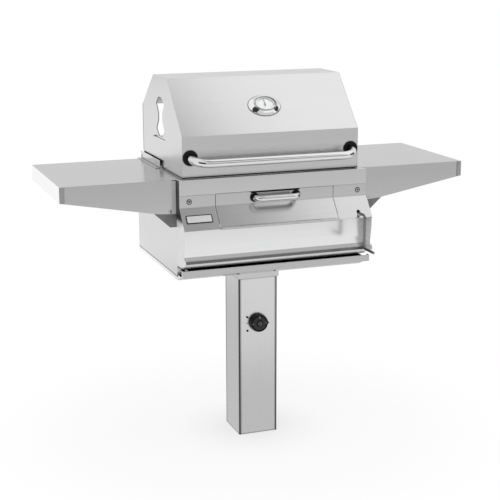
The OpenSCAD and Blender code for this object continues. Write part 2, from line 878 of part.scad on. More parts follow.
// Arms and lever on the right lift shaft
module lift_arms(up) {
    to = [-arm_dx, -arm_dz];
    lever = lever_l * [-up * sin(half_turn), up * cos(half_turn)];
    for (y = [-liner_front + wall_clear, liner_rear - wall_clear - arm_t])
        along_y(y, y + arm_t) translate([shaft_x, shaft_z]) lever_shape(to, arm_hub_r, arm_end_r);
    pin_l = arm_t + lift_pin_l;
    rod_y(-liner_front + wall_clear, -liner_front + wall_clear + pin_l, pin_x, pin_z, lift_pin_r);
    rod_y(liner_rear - wall_clear - pin_l, liner_rear - wall_clear, pin_x, pin_z, lift_pin_r);
    along_y(lever_y, lever_y + lever_t) translate([shaft_x, shaft_z])
        lever_shape(lever, arm_hub_r, lever_eye_r);
    rod_y(lever_y, bar_y + bar_t, shaft_x + lever.x, shaft_z + lever.y, lever_pin_r);
}

module crank_rod() {
    low = shaft_z - crank_drop;
    color("dimgray") {
        rod_y(crank_bend - crank_y, lever_y + lever_t, shaft_x, shaft_z, rod_r);
        bend(shaft_x, crank_bend - crank_y, shaft_z - crank_bend, crank_bend, rod_r, 90);
        translate([shaft_x, -crank_y, low + crank_bend]) cylinder(h = crank_drop - 2 * crank_bend, r = rod_r);
        bend(shaft_x, -crank_bend - crank_y, low + crank_bend, crank_bend, rod_r, 270);
        rod_y(-crank_y - grip_l, -crank_y - crank_bend, shaft_x, low, rod_r);
        lift_arms(1);
    }
}

module left_lift_shaft() {
    color("dimgray") mirror([1, 0, 0]) {
        rod_y(-liner_front - 4 * sheet, lever_y + lever_t, shaft_x, shaft_z, rod_r);
        lift_arms(-1);
    }
}

module sync_bar() {
    sway = lever_l * sin(half_turn);
    tall = lever_l * cos(half_turn);
    eye_half = lever_pin_r + eye_play;
    color("gray") difference() {
        box([-bar_half, bar_y, shaft_z - bar_half_h], [bar_half, bar_y + bar_t, shaft_z + bar_half_h]);
        for (s = [-1, 1])
            translate([s * shaft_x - sway, 0, shaft_z + s * (tall + lever_l) / 2])
                box([-eye_half, bar_y - cut, -lever_l / 2], [eye_half, bar_y + bar_t + cut, lever_l / 2]);
    }
}

module bar_guides() {
    color("gray") for (s = [-1, 1]) difference() {
        box([s * guide_x - guide_half_w, bar_y - gap - guide_wall, shaft_z - bar_half_h - gap - guide_wall],
            [s * guide_x + guide_half_w, box_rear - sheet, shaft_z + bar_half_h + gap + guide_wall]);
        box([s * guide_x - guide_half_w - cut, bar_y - gap, shaft_z - bar_half_h - gap],
            [s * guide_x + guide_half_w + cut, bar_y + bar_t + gap, shaft_z + bar_half_h + gap]);
    }
}

module cooking_grid() {
    front = -liner_front + grid_end;
    rear = liner_rear - grid_end;
    color("dimgray") translate([grid_half / 2 + gap, 0, 0]) {
        for (y = [front, (front + rear - grid_bar) / 2, rear - grid_bar])
            box([-grid_half, y, grid_z], [grid_half, y + grid_bar, grid_z + grid_bar]);
        for (i = [0:grid_rods - 1])
            rod_y(front, rear, (i - (grid_rods - 1) / 2) * grid_pitch, grid_z + grid_bar, grid_rod_d / 2);
    }
}

module right_cooking_grid() {
    translate([grid_half / 2, 0, 0]) cooking_grid();
}

module left_cooking_grid() {
    mirror([1, 0, 0]) right_cooking_grid();
}

module hinge_brackets() {
    rear = box_rear - sheet;
    mid = [hinge_y, hinge_z];
    color("silver") both_sides() difference() {
        union() {
            box([hinge_face - bracket_t, rear - hinge_plate_w, hinge_z - hinge_plate_h / 2],
                [hinge_face, rear, hinge_z + hinge_plate_h / 2]);
            box([hinge_face - hinge_foot_w, rear - bracket_t, hinge_z - hinge_plate_h / 2],
                [hinge_face, rear, hinge_z + hinge_plate_h / 2]);
        }
        rod_x(hinge_face - bracket_t - cut, hinge_face + cut, mid.x, mid.y, stud_d / 2 + slip);
    }
}

module hood_shell() {
    line = concat([[rim_return - hood_front, hood_z]], hood_line);
    color("silver") difference() {
        along_x(-hood_in, hood_in) fold(line, -sheet);
        on_slope() translate([0, 0, -2 * sheet]) cylinder(h = 3 * sheet, r = stem_r + slip);
    }
}

// Vent outline: two rounded lobes joined by a waist, centred on the origin
module vent_shape() {
    wide = vent_w / 2;
    waist = vent_waist / 2;
    upper = [[waist, vent_h * neck_share], [wide, vent_h * lobe_share], [wide * crown_share, vent_h / 2]];
    lower = [for (p = reversed(upper)) [p.x, -p.y]];
    right = concat(lower, upper);
    left = [for (p = reversed(right)) [-p.x, p.y]];
    offset(vent_round, $fn = 32) offset(-2 * vent_round, $fn = 32) offset(vent_round, $fn = 32)
        polygon(concat(right, left));
}

module hood_side() {
    top = damper_hi + gap;
    foot = damper_lo - gap;
    lip_in = hood_in - damper_t - 2 * gap;
    color("silver") {
        along_x(hood_in, hood_half) difference() {
            polygon(concat(hood_line, hood_step));
            translate([vent_y, vent_mid_z]) vent_shape();
            translate([tab_slot_front, tab_slot_z - tab_slot_half_h])
                square([tab_slot_rear - tab_slot_front, 2 * tab_slot_half_h]);
        }
        for (s = [1, -1]) {
            edge = s > 0 ? top : foot;
            box([lip_in - guide_t, guide_front, min(edge, edge + s * guide_wall)],
                [hood_in, guide_rear, max(edge, edge + s * guide_wall)]);
            box([lip_in - guide_t, guide_front, min(edge - s * guide_lap, edge + s * guide_wall)],
                [lip_in, guide_rear, max(edge - s * guide_lap, edge + s * guide_wall)]);
        }
    }
}

module hood_right_side() {
    hood_side();
}

module hood_left_side() {
    mirror([1, 0, 0]) hood_side();
}

module hood_hinge_studs() {
    clip_face = hinge_face - bracket_t - gap;
    color("gray") both_sides() {
        rod_x(hood_in - stud_flange_t, hood_in, hinge_y, hinge_z, stud_flange_r);
        rod_x(clip_face - 2 * clip_t, hood_in - stud_flange_t, hinge_y, hinge_z, stud_d / 2);
        rod_x(clip_face - clip_t, clip_face, hinge_y, hinge_z, clip_r);
    }
}

module hood_handle() {
    color("silver") translate([0, -hood_front, grab_z]) rotate([grab_tilt, 0, 0])
        bar_handle(grab_feet, grab_len, grab_bend, grab_r, -grab_r * tan(grab_tilt));
}

module handle_bezels() {
    r = grab_bezel_d / 2;
    color("dimgray") both_sides() difference() {
        translate([grab_feet / 2, -hood_front, grab_z]) rotate([90, 0, 0]) dome_head(r, grab_bezel_h);
        rod_y(-hood_front - grab_bezel_h - cut, cut - hood_front, grab_feet / 2, grab_z, grab_r + bezel_play);
    }
}

module vent_damper() {
    c = damper_corner;
    color("gray") {
        along_x(hood_in - gap - damper_t, hood_in - gap) difference() {
            polygon([[damper_front, damper_lo], [damper_rear, damper_lo], [damper_rear, damper_hi - c],
                [damper_rear - c, damper_hi], [damper_front + c, damper_hi], [damper_front, damper_hi - c]]);
            translate([vent_y, vent_mid_z]) vent_shape();
        }
        box([hood_in - gap - damper_t, tab_slot_rear - tab_inset - tab_w, tab_slot_z - tab_t / 2],
            [hood_half + tab_out, tab_slot_rear - tab_inset, tab_slot_z + tab_t / 2]);
    }
}

module right_vent_damper() {
    vent_damper();
}

module left_vent_damper() {
    mirror([1, 0, 0]) vent_damper();
}

// Frame on the hood's sloping front: +Z points out of it and +Y up along it
module on_slope() {
    up = gauge_up / slope_l;
    translate([0, up * slope_run - hood_front, hood_z + hood_front_h + up * slope_rise])
        rotate([slope_angle, 0, 0]) children();
}

module thermometer_bezel() {
    bore = gauge_dial_r + gap;
    crown = bore + 3 * gauge_lip;
    arc = [for (a = [0:arc_step:90])
        [crown + (gauge_r - crown) * cos(a), gauge_edge + (gauge_h - gauge_edge) * sin(a)]];
    color("silver") on_slope() rotate_extrude()
        polygon(concat([[bore, 0], [gauge_r, 0]], arc,
            [[bore - gauge_lip, gauge_h], [bore - gauge_lip, gauge_h - gauge_lip],
            [bore, gauge_h - gauge_lip]]));
}

module thermometer_dial() {
    color("white") on_slope() {
        cylinder(h = gauge_face, r = gauge_dial_r);
        cylinder(h = needle_z + needle_t + gap, r = spindle_r);
    }
}

module thermometer_needle() {
    color("black") on_slope() translate([0, 0, needle_z]) linear_extrude(needle_t) difference() {
        union() {
            circle(needle_hub_r);
            polygon([[-needle_hub_r / 2, -needle_tail], [needle_hub_r / 2, -needle_tail],
                [needle_t / 2, needle_l], [-needle_t / 2, needle_l]]);
        }
        circle(spindle_r + slip);
    }
}

module thermometer_glass() {
    color("aliceblue") on_slope() translate([0, 0, gauge_h - gauge_lip - glass_t])
        cylinder(h = glass_t, r = gauge_dial_r);
}

module thermometer_stem() {
    color("gray") on_slope() {
        translate([0, 0, -stem_l]) cylinder(h = stem_l, r = stem_r);
        translate([0, 0, -sheet - nut_h]) cylinder(h = nut_h, r = nut_r, $fn = 6);
    }
}

module skirt_shape() {
    root_z = rim_z - skirt_root;
    translate([half_box, 0]) polygon([[skirt_start, rim_z], [shelf_l, rim_z], [shelf_l, rim_z - skirt_end],
        [skirt_bend, root_z], [skirt_start, root_z - 2 * sheet]]);
}

module bracket_holes() {
    x = half_box + bracket_bolt_x;
    z = rim_z - bracket_bolt_drop;
    for (y = [-shelf_front, shelf_rear - sheet])
        rod_y(y - 2 * sheet, y + 3 * sheet, x, z, screw_r + screw_play);
}

module shelf_top() {
    color("silver") difference() {
        union() {
            box([half_box, -shelf_front, rim_z - sheet], [half_box + shelf_l - sheet, shelf_rear, rim_z]);
            intersection() {
                union() {
                    along_y(-shelf_front, sheet - shelf_front) skirt_shape();
                    along_y(shelf_rear - sheet, shelf_rear) skirt_shape();
                }
                box([half_box, -shelf_front, rim_z - box_h], [half_box + shelf_l - sheet, shelf_rear, rim_z]);
            }
        }
        bracket_holes();
    }
}

module right_shelf_top() {
    shelf_top();
}

module left_shelf_top() {
    mirror([1, 0, 0]) shelf_top();
}

module shelf_end() {
    tip = half_box + shelf_l;
    color("silver") difference() {
        union() {
            box([tip - sheet, -shelf_front - sheet, rim_z - skirt_end], [tip, shelf_rear + sheet, rim_z]);
            box([tip - end_return, -shelf_front - sheet, rim_z - skirt_end], [tip, -shelf_front, rim_z]);
            box([tip - end_return, shelf_rear, rim_z - skirt_end], [tip, shelf_rear + sheet, rim_z]);
        }
        rod_x(tip - sheet - cut, tip + cut, (shelf_rear - shelf_front) / 2, rim_z - skirt_end, notch_r);
    }
}

module right_shelf_end() {
    shelf_end();
}

module left_shelf_end() {
    mirror([1, 0, 0]) shelf_end();
}

module shelf_brackets() {
    top = rim_z - sheet;
    low = rim_z - bracket_drop;
    plate = [[half_box, top], [half_box + bracket_w, top], [half_box + bracket_w, rim_z - skirt_root],
        [half_box + bracket_tip, low], [half_box, low]];
    color("silver") difference() {
        for (side = [1, -1]) {
            y = side > 0 ? sheet - shelf_front : shelf_rear - sheet;
            along_y(min(y, y + side * sheet), max(y, y + side * sheet)) polygon(plate);
            box([half_box, min(y, y + side * bracket_foot), low],
                [half_box + sheet, max(y, y + side * bracket_foot), top]);
        }
        bracket_holes();
    }
}

module right_shelf_brackets() {
    shelf_brackets();
}

module left_shelf_brackets() {
    mirror([1, 0, 0]) shelf_brackets();
}

module shelf_bolts() {
    mid = (shelf_rear - shelf_front) / 2;
    x = half_box + bracket_bolt_x;
    z = rim_z - bracket_bolt_drop;
    color("gray") both_sides() {
        dome_bolt_y(x, -shelf_front, z, 3 * sheet);
        translate([0, 2 * mid, 0]) mirror([0, 1, 0]) dome_bolt_y(x, -shelf_front, z, 3 * sheet);
    }
}

post();
post_collar();
post_bolts();
timer_valve();
timer_knob();
base_pan();
left_side_panel();
right_side_panel();
back_panel();
lower_front_panel();
left_cheek();
right_cheek();
front_panel();
top_trim();
panel_screws();
side_bolts();
access_door();
door_hinge_pin();
door_handle();
door_handle_bezels();
ash_tray();
tray_rails();
firebox_liner();
grid_ledges();
charcoal_pan();
crank_rod();
left_lift_shaft();
sync_bar();
bar_guides();
left_cooking_grid();
right_cooking_grid();
hinge_brackets();
hood_shell();
hood_left_side();
hood_right_side();
hood_hinge_studs();
hood_handle();
handle_bezels();
left_vent_damper();
right_vent_damper();
thermometer_bezel();
thermometer_dial();
thermometer_needle();
thermometer_glass();
thermometer_stem();
left_shelf_top();
right_shelf_top();
left_shelf_end();
right_shelf_end();
left_shelf_brackets();
right_shelf_brackets();
shelf_bolts();
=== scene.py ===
"""Looks of the pedestal charcoal grill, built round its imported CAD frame. Lengths are in metres, +Z is up."""

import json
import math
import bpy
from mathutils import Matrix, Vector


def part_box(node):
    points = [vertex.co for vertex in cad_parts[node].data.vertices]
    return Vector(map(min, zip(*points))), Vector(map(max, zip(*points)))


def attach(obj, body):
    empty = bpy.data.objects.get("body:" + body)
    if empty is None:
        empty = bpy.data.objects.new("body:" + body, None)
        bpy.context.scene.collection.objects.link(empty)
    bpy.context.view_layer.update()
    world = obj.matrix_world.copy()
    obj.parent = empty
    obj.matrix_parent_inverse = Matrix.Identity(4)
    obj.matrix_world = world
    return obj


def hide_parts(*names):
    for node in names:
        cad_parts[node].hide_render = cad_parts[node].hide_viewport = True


bl_info = {
    "name": "Pedestal grill looks",
    "version": (1, 0, 0),
    "blender": (4, 5, 0),
    "location": "View3D > Sidebar > Grill",
    "description": "Dresses the packed pedestal grill: finishes, handles, thermometer, knob, fittings and studio",
    "category": "Object",
}

import bmesh
import bpy
import numpy as np
from bpy.props import FloatProperty, FloatVectorProperty, IntProperty, PointerProperty
from mathutils import Matrix, Vector

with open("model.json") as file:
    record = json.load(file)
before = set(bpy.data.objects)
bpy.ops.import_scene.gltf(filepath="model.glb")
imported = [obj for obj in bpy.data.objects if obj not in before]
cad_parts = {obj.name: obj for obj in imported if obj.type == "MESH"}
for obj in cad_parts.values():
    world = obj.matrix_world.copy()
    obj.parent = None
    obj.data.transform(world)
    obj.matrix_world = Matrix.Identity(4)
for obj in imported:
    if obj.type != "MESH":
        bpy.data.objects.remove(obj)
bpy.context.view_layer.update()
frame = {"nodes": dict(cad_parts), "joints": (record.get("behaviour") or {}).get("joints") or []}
TURN = 2 * math.pi


def joint(name):
    """The record's row of one joint."""
    return next(row for row in frame["joints"] if row["name"] == name)


# Places that the CAD source gives, read back from the joints and from the nodes' boxes
NEEDLE, KNOB = joint("needle_turn"), joint("knob_turn")
GRAB_BEZELS, PULL_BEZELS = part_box("handle_bezels"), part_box("door_handle_bezels")
HOOD_FACE, DOOR_FACE = GRAB_BEZELS[1].y, PULL_BEZELS[1].y
POST_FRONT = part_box("post")[0].y
HOOD_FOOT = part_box("hood_shell")[0].z
SIDE_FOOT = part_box("hood_left_side")[0].z
SHELF_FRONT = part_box("left_shelf_end")[0].y
PANEL_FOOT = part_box("left_side_panel")[0].z
CHEEK_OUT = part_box("right_cheek")[1].x
PAN_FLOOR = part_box("base_pan")[0].z
# y of the rear edge of the hood's side above its foot
SIDE_REAR = 0.278
# Foot and top of the sloping part of the fascia, which carries the bare plate
SLOPE_FOOT, SLOPE_TOP = Vector((0, -0.3063, 0.8604)), Vector((0, -0.2505, 0.9307))

WALL = 0.0015  # thickness of the folded sheet
PRINT = 0.0003  # thickness of a printed mark

# Heights of the lower front panel's folded groove and of the hem under it
GROOVE_TOP, GROOVE_FOOT, HEM_TOP = PAN_FLOOR + 0.0865, PAN_FLOOR + 0.0685, PAN_FLOOR + 0.0635


# Frames in which pieces are shaped: z points out of the face that carries the piece


def face_frame(origin, out, up):
    """A 4 x 4 matrix whose columns are up x out, up and out as unit vectors at right angles, and the origin."""
    z = Vector(out).normalized()
    x = Vector(up).cross(z).normalized()
    place = np.array(Matrix((x, z.cross(x), z)).transposed().to_4x4())
    place[:3, 3] = origin
    return place


def front_frame(x, y, z):
    """Frame on an upright front face: its z points to -Y and its y points up."""
    return face_frame((x, y, z), (0, -1, 0), (0, 0, 1))


def hood_frame():
    """Frame at the thermometer's middle on the hood's sloping front, its z along the needle's axis."""
    out = Vector(NEEDLE["axis"]).normalized()
    return face_frame(Vector(NEEDLE["pos_m"]), out, (0, out.z, -out.y))


def plate_frame():
    """Frame at the middle of the bare plate, on the sloping front left of the door."""
    from_middle, up_slope = -0.290, 0.0445
    up = (SLOPE_TOP - SLOPE_FOOT).normalized()
    middle = SLOPE_FOOT + up * up_slope
    return face_frame((from_middle, middle.y, middle.z), (0, -up.z, up.y), up)


def at(place, surface):
    """A surface carried from a piece's own frame into the model's frame."""
    points, faces = surface
    return points @ place[:3, :3].T + place[:3, 3], faces


# Surfaces, each worked out as whole arrays and kept as (points, blocks of faces)


def grid_faces(rows, columns, wrap_rows=False):
    """Quads between neighbours of a rows x columns grid of points whose rows are closed rings. Wrapped rows
    also join the last ring to the first."""
    i = np.arange(rows if wrap_rows else rows - 1)[:, None]
    j = np.arange(columns)[None, :]
    k, n = (i + 1) % rows, (j + 1) % columns
    quads = np.stack([i * columns + j, i * columns + n, k * columns + n, k * columns + j], -1)
    return quads.reshape(-1, 4)


def fan_faces(ring_start, columns, pole, flip):
    """Triangles from a pole to one ring of points."""
    j = np.arange(columns)
    n = (j + 1) % columns
    a, b = (n, j) if flip else (j, n)
    return np.stack([ring_start + a, ring_start + b, np.full(columns, pole)], -1)


def capped(points, rows, columns, first, last):
    """A grid of rings closed on a pole at its first and at its last ring."""
    end = rows * columns
    fans = [fan_faces(0, columns, end, True), fan_faces(end - columns, columns, end + 1, False)]
    return np.concatenate([points, [first], [last]]), [grid_faces(rows, columns)] + fans


def lathe(profile, sides, closed=False, radius_of=None):
    """A profile turned round z: point = (a cos t, b sin t, h), t from 0 to a full turn.
    A row of the profile is (radius, height), or (radius along x, radius along y, height) for an oval.
    A closed profile makes a ring; an open one ends on poles at its first and last height.
    radius_of(t) multiplies the radius, for a knob whose edge isn't round."""
    profile = np.array(profile, float)
    t = np.linspace(0, TURN, sides, endpoint=False)
    factor = np.ones(sides) if radius_of is None else radius_of(t)
    a, b, h = (profile[:, i][:, None] for i in (0, -2, -1))
    points = np.stack([a * factor * np.cos(t), b * factor * np.sin(t), h + 0 * t], -1).reshape(-1, 3)
    if closed:
        return points, [grid_faces(len(profile), sides, wrap_rows=True)]
    return capped(points, len(profile), sides, (0, 0, profile[0, -1]), (0, 0, profile[-1, -1]))


def tube(path, radius, sides):
    """A round tube along a path in the plane z = 0: point = p + r (cos t n + sin t b), where n is the path's
    side vector in the plane and b the plane's normal. Both ends are closed on poles."""
    step = np.gradient(path, axis=0)
    ahead = step / np.linalg.norm(step, axis=1)[:, None]
    b = np.array([0.0, 0.0, 1.0])
    n = np.cross(b, ahead)
    t = np.linspace(0, TURN, sides, endpoint=False)
    ring = np.cos(t)[None, :, None] * n[:, None, :] + np.sin(t)[None, :, None] * b
    points = (path[:, None, :] + radius * ring).reshape(-1, 3)
    return capped(points, len(path), sides, path[0], path[-1])


def slab(outline, low, high):
    """A flat outline, counted anticlockwise, raised from the height low to the height high."""
    outline = np.array(outline, float)
    n = len(outline)
    points = np.concatenate([np.column_stack([outline, np.full(n, h)]) for h in (low, high)])
    j = np.arange(n)
    k = (j + 1) % n
    return points, [np.stack([j, k, n + k, n + j], -1), j[::-1][None, :], (n + j)[None, :]]


def open_tray(outer, inner, half, wall):
    """A sheet tray: its outer (y, z) profile carried along x from -half to half, the inner one inside the end
    walls, both ends closed by their own outline and the rims joined all round."""
    n = len(outer)
    rings = [(outer, -half), (outer, half), (inner, wall - half), (inner, half - wall)]
    points = np.concatenate([np.column_stack([np.full(n, x), np.array(line)]) for line, x in rings])
    i = np.arange(n - 1)
    skin = np.stack([i, i + 1, n + i + 1, n + i], -1)
    rims = np.array(
        [
            [0, n, 3 * n, 2 * n],
            [n - 1, 3 * n - 1, 4 * n - 1, 2 * n - 1],
            [0, 2 * n, 3 * n - 1, n - 1],
            [n, 2 * n - 1, 4 * n - 1, 3 * n],
        ]
    )
    ends = [np.arange(k * n, (k + 1) * n)[None, :] for k in range(4)]
    return points, [skin, skin[:, ::-1] + 2 * n, rims] + ends


def joined(parts):
    """Several surfaces as one."""
    points, faces, start = [], [], 0
    for p, f in parts:
        points.append(p)
        faces += [block + start for block in f]
        start += len(p)
    return np.concatenate(points), faces


def both_sides(surface):
    """A surface and its mirror image in the plane x = 0, whose faces are turned to point outwards."""
    points, faces = surface
    return joined([surface, (points * np.array([-1.0, 1.0, 1.0]), [block[:, ::-1] for block in faces])])


def rounded_bar(length, width, corner, steps=8):
    """Outline of a bar with corners rounded by quarter circles, centred on the origin, anticlockwise."""
    t = np.linspace(0, TURN / 4, steps + 1)
    rows = []
    for quarter, (sx, sy) in enumerate(((1, 1), (-1, 1), (-1, -1), (1, -1))):
        cx, cy = sx * (length / 2 - corner), sy * (width / 2 - corner)
        a = t + quarter * TURN / 4
        rows.append(np.column_stack([cx + corner * np.cos(a), cy + corner * np.sin(a)]))
    return np.concatenate(rows)


def turned(outline, angle, centre=(0.0, 0.0)):
    """An outline turned about the origin by the angle and then moved to the centre."""
    c, s = math.cos(angle), math.sin(angle)
    return np.array(outline) @ np.array([[c, s], [-s, c]]) + np.array(centre)


def printed(marks, low, high):
    """Printed bars and dots as thin slabs. A mark is (length, width, corner, steps in a corner, angle in
    degrees, x, y, extra height)."""
    slabs = []
    for length, width, corner, steps, angle, x, y, extra in marks:
        bar = turned(rounded_bar(length, width, corner, steps), math.radians(angle), (x, y))
        slabs.append(slab(bar, low, high + extra))
    return joined(slabs)


def arc_profile(centre, radii, start, end, steps):
    """Points of an ellipse's arc: centre + (a cos t, b sin t), t from start to end in degrees."""
    t = np.radians(np.linspace(start, end, steps))
    return [(centre[0] + radii[0] * math.cos(a), centre[1] + radii[1] * math.sin(a)) for a in t]


SMOOTH_ANGLE = math.radians(35)


def make_piece(name, surface, look, body, node="", bevel=0.0):
    """A mesh object made from a surface, at the origin, with its finish and body, standing for the
    CAD node if one is named. A bevel rounds its edges."""
    points, faces = surface
    mesh = bpy.data.meshes.new(name)
    mesh.from_pydata(points.tolist(), [], [row for block in faces for row in block.tolist()])
    mesh.validate()
    shape = bmesh.new()
    shape.from_mesh(mesh)
    bmesh.ops.recalc_face_normals(shape, faces=shape.faces)
    shape.to_mesh(mesh)
    shape.free()
    mesh.shade_smooth()
    mesh.set_sharp_from_angle(angle=SMOOTH_ANGLE)
    mesh.materials.append(finish(look))
    piece = bpy.data.objects.new(name, mesh)
    bpy.context.scene.collection.objects.link(piece)
    if bevel:
        rounding = piece.modifiers.new("rounding", "BEVEL")
        rounding.width = bevel
        rounding.segments = 2
        rounding.limit_method = "ANGLE"
    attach(piece, body)
    if node:
        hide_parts(node)


# Finishes, all of them node materials that read Object coordinates


class Net:
    """The node tree of a new material or world. Its methods add nodes and give back an output."""

    def __init__(self, owner):
        owner.use_nodes = True
        self.owner = owner
        self.nodes, self.links = owner.node_tree.nodes, owner.node_tree.links

    def fill(self, node, inputs):
        """Sets each named input to a plain value, or links it to an output."""
        for key, value in inputs.items():
            if isinstance(value, bpy.types.NodeSocket):
                self.links.new(value, node.inputs[key])
            else:
                node.inputs[key].default_value = value

    def add(self, kind, inputs, output=0, **settings):
        """Adds a node with its settings and inputs."""
        node = self.nodes.new("ShaderNode" + kind)
        for name, value in settings.items():
            setattr(node, name, value)
        self.fill(node, inputs)
        return node.outputs[output]

    def shade(self, inputs):
        """Fills the Principled shader and gives back the finished material."""
        self.fill(self.nodes["Principled BSDF"], inputs)
        return self.owner

    def place(self):
        """The Object coordinates."""
        return self.add("TexCoord", {}, "Object")

    def math(self, operation, *values):
        """A sum on outputs and plain numbers."""
        return self.add("Math", dict(enumerate(values)), operation=operation)

    def noise(self, scales, detail, rough=0.6):
        """Noise stretched by its own scale along each of X, Y and Z."""
        place = self.add("Mapping", {"Vector": self.place(), "Scale": scales})
        inputs = {"Vector": place, "Scale": 1.0, "Detail": detail, "Roughness": rough}
        return self.add("TexNoise", inputs, "Fac")

    def ranged(self, value, start, end, low=0.0, high=1.0, **settings):
        """The value taken from the range start to end to the range low to high."""
        inputs = {"Value": value, "From Min": start, "From Max": end, "To Min": low, "To Max": high}
        return self.add("MapRange", inputs, "Result", **settings)

    def spread(self, noise, low=0.0, high=1.0):
        """The usual reach of noise, 0.3 to 0.7, spread over the range low to high."""
        return self.ranged(noise, 0.3, 0.7, low, high)

    def mixed(self, share, start, end):
        """The colour at that share of the way from start to end."""
        return self.add("Mix", {"Factor": share, "A": start, "B": end}, "Result", data_type="RGBA")

    def bumped(self, height, strength, distance, **under):
        """The normal that a height gives, over the normal under it."""
        return self.add("Bump", {"Height": height, "Strength": strength, "Distance": distance, **under}, "Normal")

    def axis(self, axis, distance=False):
        """One Object coordinate, or the distance from the middle plane along it."""
        value = self.add("SeparateXYZ", {0: self.place()}, axis)
        return self.math("ABSOLUTE", value) if distance else value

    def seam_shaded(self, colour, reach):
        """The colour with painted shade in seams and inner corners that are narrower than reach: it goes dark where
        ambient occlusion finds them.
        """
        open_share = self.add("AmbientOcclusion", {"Distance": reach}, "AO", samples=6)
        return self.mixed(self.math("POWER", open_share, SEAM_DEPTH), SEAM_SHADE_COLOUR, colour)

    def ramp(self, value, stops):
        """Smooth ramp of grey levels through (position, level) stops."""
        ramp = self.nodes.new("ShaderNodeValToRGB")
        ramp.color_ramp.interpolation = "EASE"
        elements = ramp.color_ramp.elements
        while len(elements) < len(stops):
            elements.new(0.5)
        for element, (position, level) in zip(elements, stops):
            element.position = position
            element.color = (level, level, level, 1)
        self.fill(ramp, {"Fac": value})
        return ramp.outputs["Color"]

    def rays(self, *kinds):
        """1 on rays of the named kinds and 0 on the others."""
        total, *others = [self.add("LightPath", {}, kind) for kind in kinds]
        for other in others:
            total = self.math("MAXIMUM", total, other)
        return total


def new_net(name):
    """The node tree of a new material."""
    return Net(bpy.data.materials.new(name))


def scaled(colour, factor):
    """A colour multiplied by a factor, with its alpha of 1."""
    return (*(min(1.0, c * factor) for c in colour[:3]), 1.0)


# Painted shade in seams: the near black that the colour goes to, and how fast it goes there as ambient occlusion
# closes in
SEAM_DEPTH = 1.4
SEAM_SHADE_COLOUR = (0.02, 0.02, 0.02, 1)
GRAIN_ALONG, GRAIN_ACROSS = 4.0, 900.0
STREAK_ALONG, STREAK_ACROSS = 1.1, 130.0
CLOUD = 3.0

# Bands of painted shade and painted dark reflection: dark lines and strips along the sheets' edges, folds and gaps,
# as (axis, start, full, tone): from start to full along that Object axis the colour goes to that share of itself.
# The axis
# "corner" is the smaller of the distances from the planes x = 0 and y = 0, which is greatest on the post's corners,
# and "Xside" the distance from x = 0.
SHADE_BANDS = {
    "hood_sheet": (("Z", HOOD_FOOT + 0.0045, HOOD_FOOT + 0.003, 0.03),),
    "hood_side_sheet": (
        ("Z", SIDE_FOOT + 0.0055, SIDE_FOOT + 0.004, 0.01),
        ("Y", SIDE_REAR - 0.0075, SIDE_REAR - 0.006, 0.05),
    ),
    "side_sheet": (("Z", PANEL_FOOT + 0.005, PANEL_FOOT + 0.002, 0.1),),
    "cheek_sheet": (
        ("Xside", CHEEK_OUT - 0.0007, CHEEK_OUT - 0.0004, 0.03),
        ("Z", PAN_FLOOR + 0.225, PAN_FLOOR + 0.21, 1.0),
    ),
    "lower_front_sheet": (("Z", GROOVE_TOP, GROOVE_TOP - 0.0015, 0.56), ("Z", HEM_TOP + 0.001, HEM_TOP, 0.84)),
    "shelf_end_sheet": (("Y", SHELF_FRONT + 0.0013, SHELF_FRONT + 0.001, 0.42),),
    "post_sheet": (("corner", 0.063, 0.069, 0.55), ("corner", 0.0698, 0.0712, 0.06)),
}


def brushed(name, colour, rough, axis="X", streaks=0.02, fold=0.0014, seam=0.007, metal=1.0):
    """Brushed stainless sheet: fine grain along one axis, faint streaks, slow cloudy changes, folds rounded
    to the fold radius, painted shade in seams and inner corners, and the sheet's bands of painted shade."""
    net = new_net(name)

    def drawn_out(along, across, detail):
        """Noise drawn out along the grain."""
        return net.noise([along if letter == axis else across for letter in "XYZ"], detail)

    grain = drawn_out(GRAIN_ALONG, GRAIN_ACROSS, 2.0)
    streak = drawn_out(STREAK_ALONG, STREAK_ACROSS, 3.0)
    cloud = net.math("MULTIPLY", net.noise([CLOUD] * 3, 1.0), 0.5)
    shade = net.spread(net.math("MULTIPLY_ADD", streak, 0.5, cloud))
    tone = net.mixed(shade, scaled(colour, 1 - streaks), scaled(colour, 1 + streaks))
    # Painted shade: each band darkens the colour to its tone along an edge, fold or gap
    for where, start, full, dark in SHADE_BANDS.get(name, ()):
        if where == "corner":
            value = net.math("MINIMUM", net.axis("X", True), net.axis("Y", True))
        else:
            value = net.axis(where[0], where == "Xside")
        tone = net.mixed(net.ranged(value, start, full), tone, scaled(colour, dark))
    normal = net.add("Bevel", {"Radius": fold}, "Normal", samples=4)
    # The base colour carries the painted shade of the seams and of the bands
    return net.shade(
        {
            "Base Color": net.seam_shaded(tone, seam),
            "Roughness": net.spread(grain, rough - 0.02, rough + 0.02),
            "Normal": net.bumped(grain, 0.04, 0.0001, Normal=normal),
            "Metallic": metal,
        }
    )


def bright_metal(name, colour, rough):
    """Polished stainless or chrome: near mirror, with faint polishing marks, handling haze and painted shade in its
    seams.
    """
    net = new_net(name)
    marks = net.noise([40.0, 260.0, 260.0], 3.0)
    tone = net.mixed(net.noise([14.0] * 3, 2.0), scaled(colour, 0.96), scaled(colour, 1.03))
    roughness = net.spread(marks, rough * 0.8, rough * 1.25)
    return net.shade({"Base Color": net.seam_shaded(tone, 0.006), "Roughness": roughness, "Metallic": 1.0})


def worn_metal(name, colour, rough, light):
    """Bare steel that heat and grease have coloured, and for the shelf brackets a dark steel of painted shade for
    the shade they stand in: blotches of two tones, dull, with a gritty surface.
    """
    net = new_net(name)
    blotch = net.noise([11.0] * 3, 6.0, 0.65)
    grit = net.noise([420.0] * 3, 3.0)
    return net.shade(
        {
            "Base Color": net.mixed(net.spread(blotch), colour, light),
            "Roughness": net.spread(grit, rough - 0.08, rough + 0.08),
            "Normal": net.bumped(grit, 0.25, 0.0004),
            "Metallic": 0.85,
        }
    )


